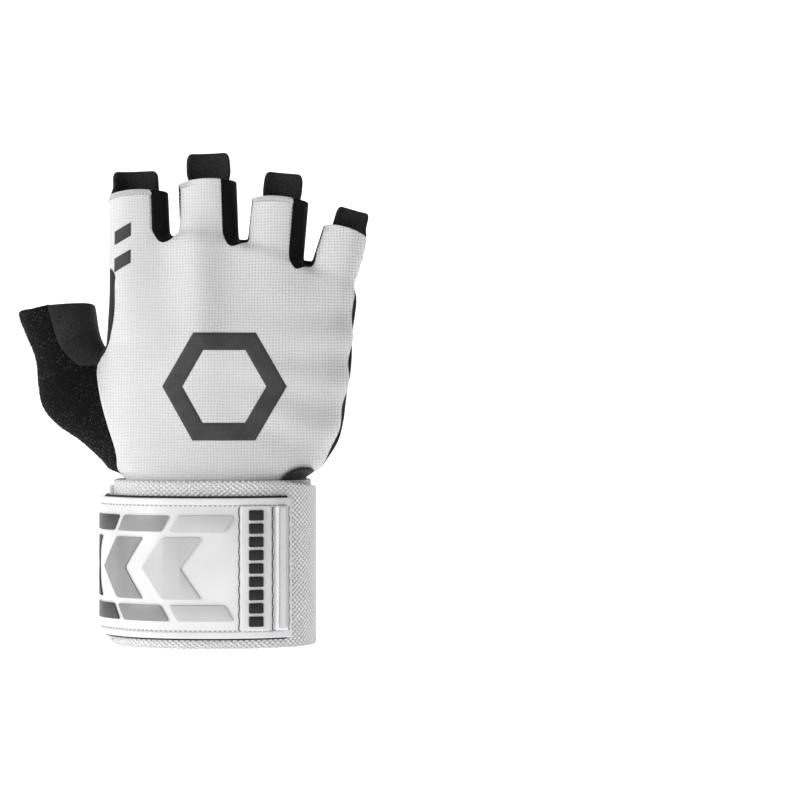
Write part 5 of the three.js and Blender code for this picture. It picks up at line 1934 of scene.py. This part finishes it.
class GLOVE_OT_holes(bpy.types.Operator):
    """Punch the small air holes in the palm"""

    bl_idname = "glove.holes"
    bl_label = "Air holes"

    def execute(self, context):
        at = spread_out(HOLES)
        points, normals = on_cloth(trees_of("glove_palm"), 1, at[:, 0], at[:, 1], 0.02)
        good = np.isfinite(points[:, 0])
        across = np.tile((1.0, 0.0, 0.0), (good.sum(), 1))
        dots = stitches("glove_air_holes", points[good], across, normals[good], 1.0, 1.0, 0.12)
        place(dots, materials["black"], "suede")
        return {"FINISHED"}


class GLOVE_OT_prints(bpy.types.Operator):
    """Print the plain ring and bars on the back and the chevron on the middle tab"""

    bl_idname = "glove.prints"
    bl_label = "Prints"

    def execute(self, context):
        back, palm = trees_of("glove_back"), trees_of("glove_palm")
        centre = spread_out([RING_CENTRE])[0]
        sides = np.arange(6) * math.pi / 3
        corners = np.stack([np.cos(sides), np.sin(sides)], 1)
        share = np.linspace(0, 1, 14, endpoint=False)[None, :, None]
        edge = mix(corners[:, None], np.roll(corners, -1, axis=0)[:, None], share).reshape(-1, 2)
        across = np.linspace(RING_INNER, RING_OUTER, 5) * PALM_WIDTH
        rows = centre + edge[None] * across[:, None, None]
        ring = laid_print("glove_ring_print", back, -1, rows, closed=True)
        bars = [laid_print(f"glove_bar_{k}", back, -1, filled(bar)) for k, bar in enumerate(BARS_BACK)]
        place(merge("glove_back_prints", [ring, *bars]), materials["ink"], "inlay_dark")
        halves = [laid_print(f"glove_tab_{k}", palm, 1, filled(half)) for k, half in enumerate(CHEVRON_TAB)]
        place(merge("glove_tab_print", halves), materials["white_ink"], "inlay_light")
        return {"FINISHED"}


class GLOVE_OT_fibres(bpy.types.Operator):
    """Scatter pale fibres over the towelling"""

    bl_idname = "glove.fibres"
    bl_label = "Towelling fibres"

    def execute(self, context):
        count = context.scene.glove_thread.fibres
        mesh = bpy.data.objects["glove_thumb_back"].data
        rng = np.random.default_rng(4)
        faces = [face for face in mesh.polygons if face.center.z > (MOUTH + 4) * MM]
        centres = np.array([face.center for face in faces]) / MM
        facing = (np.array([face.normal for face in faces]) * outward(centres)).sum(1)
        outside = centres[facing > 0.8]
        centres = outside[rng.integers(0, len(outside), count)] + rng.uniform(-0.6, 0.6, (count, 3))
        centres = settle(centres, 0.12)
        up = outward(centres)
        along = unit(np.cross(up, unit(rng.normal(size=(count, 3)))))
        lengths = rng.uniform(0.3, 0.9, count)
        fibres = stitches("glove_towelling_fibres", centres, along, up, lengths, 0.12, 0.12)
        place(fibres, materials["fleck"], "towelling")
        return {"FINISHED"}


class GloveStage(bpy.types.PropertyGroup):
    """Camera and floor"""

    camera_place: FloatVectorProperty(
        name="Camera",
        description="Where the camera stands",
        default=(0.0744, -1.0, 0.0975),
        subtype="TRANSLATION",
    )
    view_width: length_setting("View width", "Width that the camera sees at the glove", 320.0)
    floor_height: length_setting("Floor", "Height of the floor under the glove", -32.0)


class GLOVE_OT_stage(bpy.types.Operator):
    """Set up floor, lights and camera"""

    bl_idname = "glove.stage"
    bl_label = "Stage"

    def execute(self, context):
        scene = context.scene
        stage = scene.glove_stage
        camera = bpy.data.cameras.new("camera")
        camera.sensor_width = SENSOR
        camera.lens = SENSOR * abs(stage.camera_place[1]) / stage.view_width
        camera.clip_end = 20
        eye = bpy.data.objects.new("camera", camera)
        eye.location = stage.camera_place
        eye.rotation_euler = (math.pi / 2, 0, 0)
        scene.collection.objects.link(eye)
        scene.camera = eye
        glow = dict(emission_color=(1, 1, 1, 1), emission_strength=FLOOR_GLOW)
        paper = Recipe("studio_floor", grey(0.9), 0.9, **glow)
        profile = [(FLOOR_FRONT, 0.0), (FLOOR_BACK, 0.0)]
        for t in np.linspace(0.1, math.pi / 2, 12):
            profile.append((FLOOR_BACK + FLOOR_BEND * math.sin(t), FLOOR_BEND - FLOOR_BEND * math.cos(t)))
        profile.append((FLOOR_BACK + FLOOR_BEND, WALL_TOP))
        sides = (-FLOOR_HALF_WIDTH, FLOOR_HALF_WIDTH)
        points = [(x, y, z + stage.floor_height) for y, z in profile for x in sides]
        faces = [(2 * k, 2 * k + 1, 2 * k + 3, 2 * k + 2) for k in range(len(profile) - 1)]
        floor = object_of("studio_floor", np.array(points) / MM, faces)
        floor.data.materials.append(paper.material)
        for name, at, size, power in LIGHTS:
            lamp = bpy.data.lights.new(name, "AREA")
            lamp.shape = "SQUARE"
            lamp.size = size
            lamp.energy = power
            held = bpy.data.objects.new(name, lamp)
            held.location = at
            x, y, z = np.subtract(AIMED_AT, at)
            held.rotation_euler = (math.atan2(math.hypot(x, y), -z), 0, math.atan2(y, x) - math.pi / 2)
            scene.collection.objects.link(held)
        world = bpy.data.worlds.new("studio")
        world.use_nodes = True
        sky = world.node_tree.nodes["Background"]
        sky.inputs["Color"].default_value = (1, 1, 1, 1)
        sky.inputs["Strength"].default_value = SKY_GLOW
        scene.world = world
        scene.view_settings.view_transform = "Standard"
        return {"FINISHED"}


OPERATORS = (
    GLOVE_OT_stage,
    GLOVE_OT_back,
    GLOVE_OT_palm,
    GLOVE_OT_fourchettes,
    GLOVE_OT_thumb,
    GLOVE_OT_seams,
    GLOVE_OT_wrap,
    GLOVE_OT_closure,
    GLOVE_OT_inlays,
    GLOVE_OT_end_plate,
    GLOVE_OT_label,
    GLOVE_OT_quilting,
    GLOVE_OT_hems,
    GLOVE_OT_borders,
    GLOVE_OT_holes,
    GLOVE_OT_prints,
    GLOVE_OT_fibres,
)


class GLOVE_PT_panel(bpy.types.Panel):
    """Lists the glove's settings and the operators that make its pieces"""

    bl_idname = "GLOVE_PT_panel"
    bl_label = "Glove"
    bl_space_type = "VIEW_3D"
    bl_region_type = "UI"
    bl_category = "Glove"

    def draw(self, context):
        for group in (context.scene.glove_cloth, context.scene.glove_thread, context.scene.glove_stage):
            for name in group.bl_rna.properties.keys():
                if name not in ("rna_type", "name"):
                    self.layout.prop(group, name)
        for operator in OPERATORS:
            self.layout.operator(operator.bl_idname)


CLASSES = (GloveCloth, GloveThread, GloveStage, *OPERATORS, GLOVE_PT_panel)


def register():
    for one in CLASSES:
        bpy.utils.register_class(one)
    bpy.types.Scene.glove_cloth = PointerProperty(type=GloveCloth)
    bpy.types.Scene.glove_thread = PointerProperty(type=GloveThread)
    bpy.types.Scene.glove_stage = PointerProperty(type=GloveStage)


def unregister():
    del bpy.types.Scene.glove_cloth
    del bpy.types.Scene.glove_thread
    del bpy.types.Scene.glove_stage
    for one in reversed(CLASSES):
        bpy.utils.unregister_class(one)


def main():
    register()
    mix_materials()
    for operator in OPERATORS:
        group, name = operator.bl_idname.split(".")
        getattr(getattr(bpy.ops, group), name)()


if __name__ == "__main__":
    main()
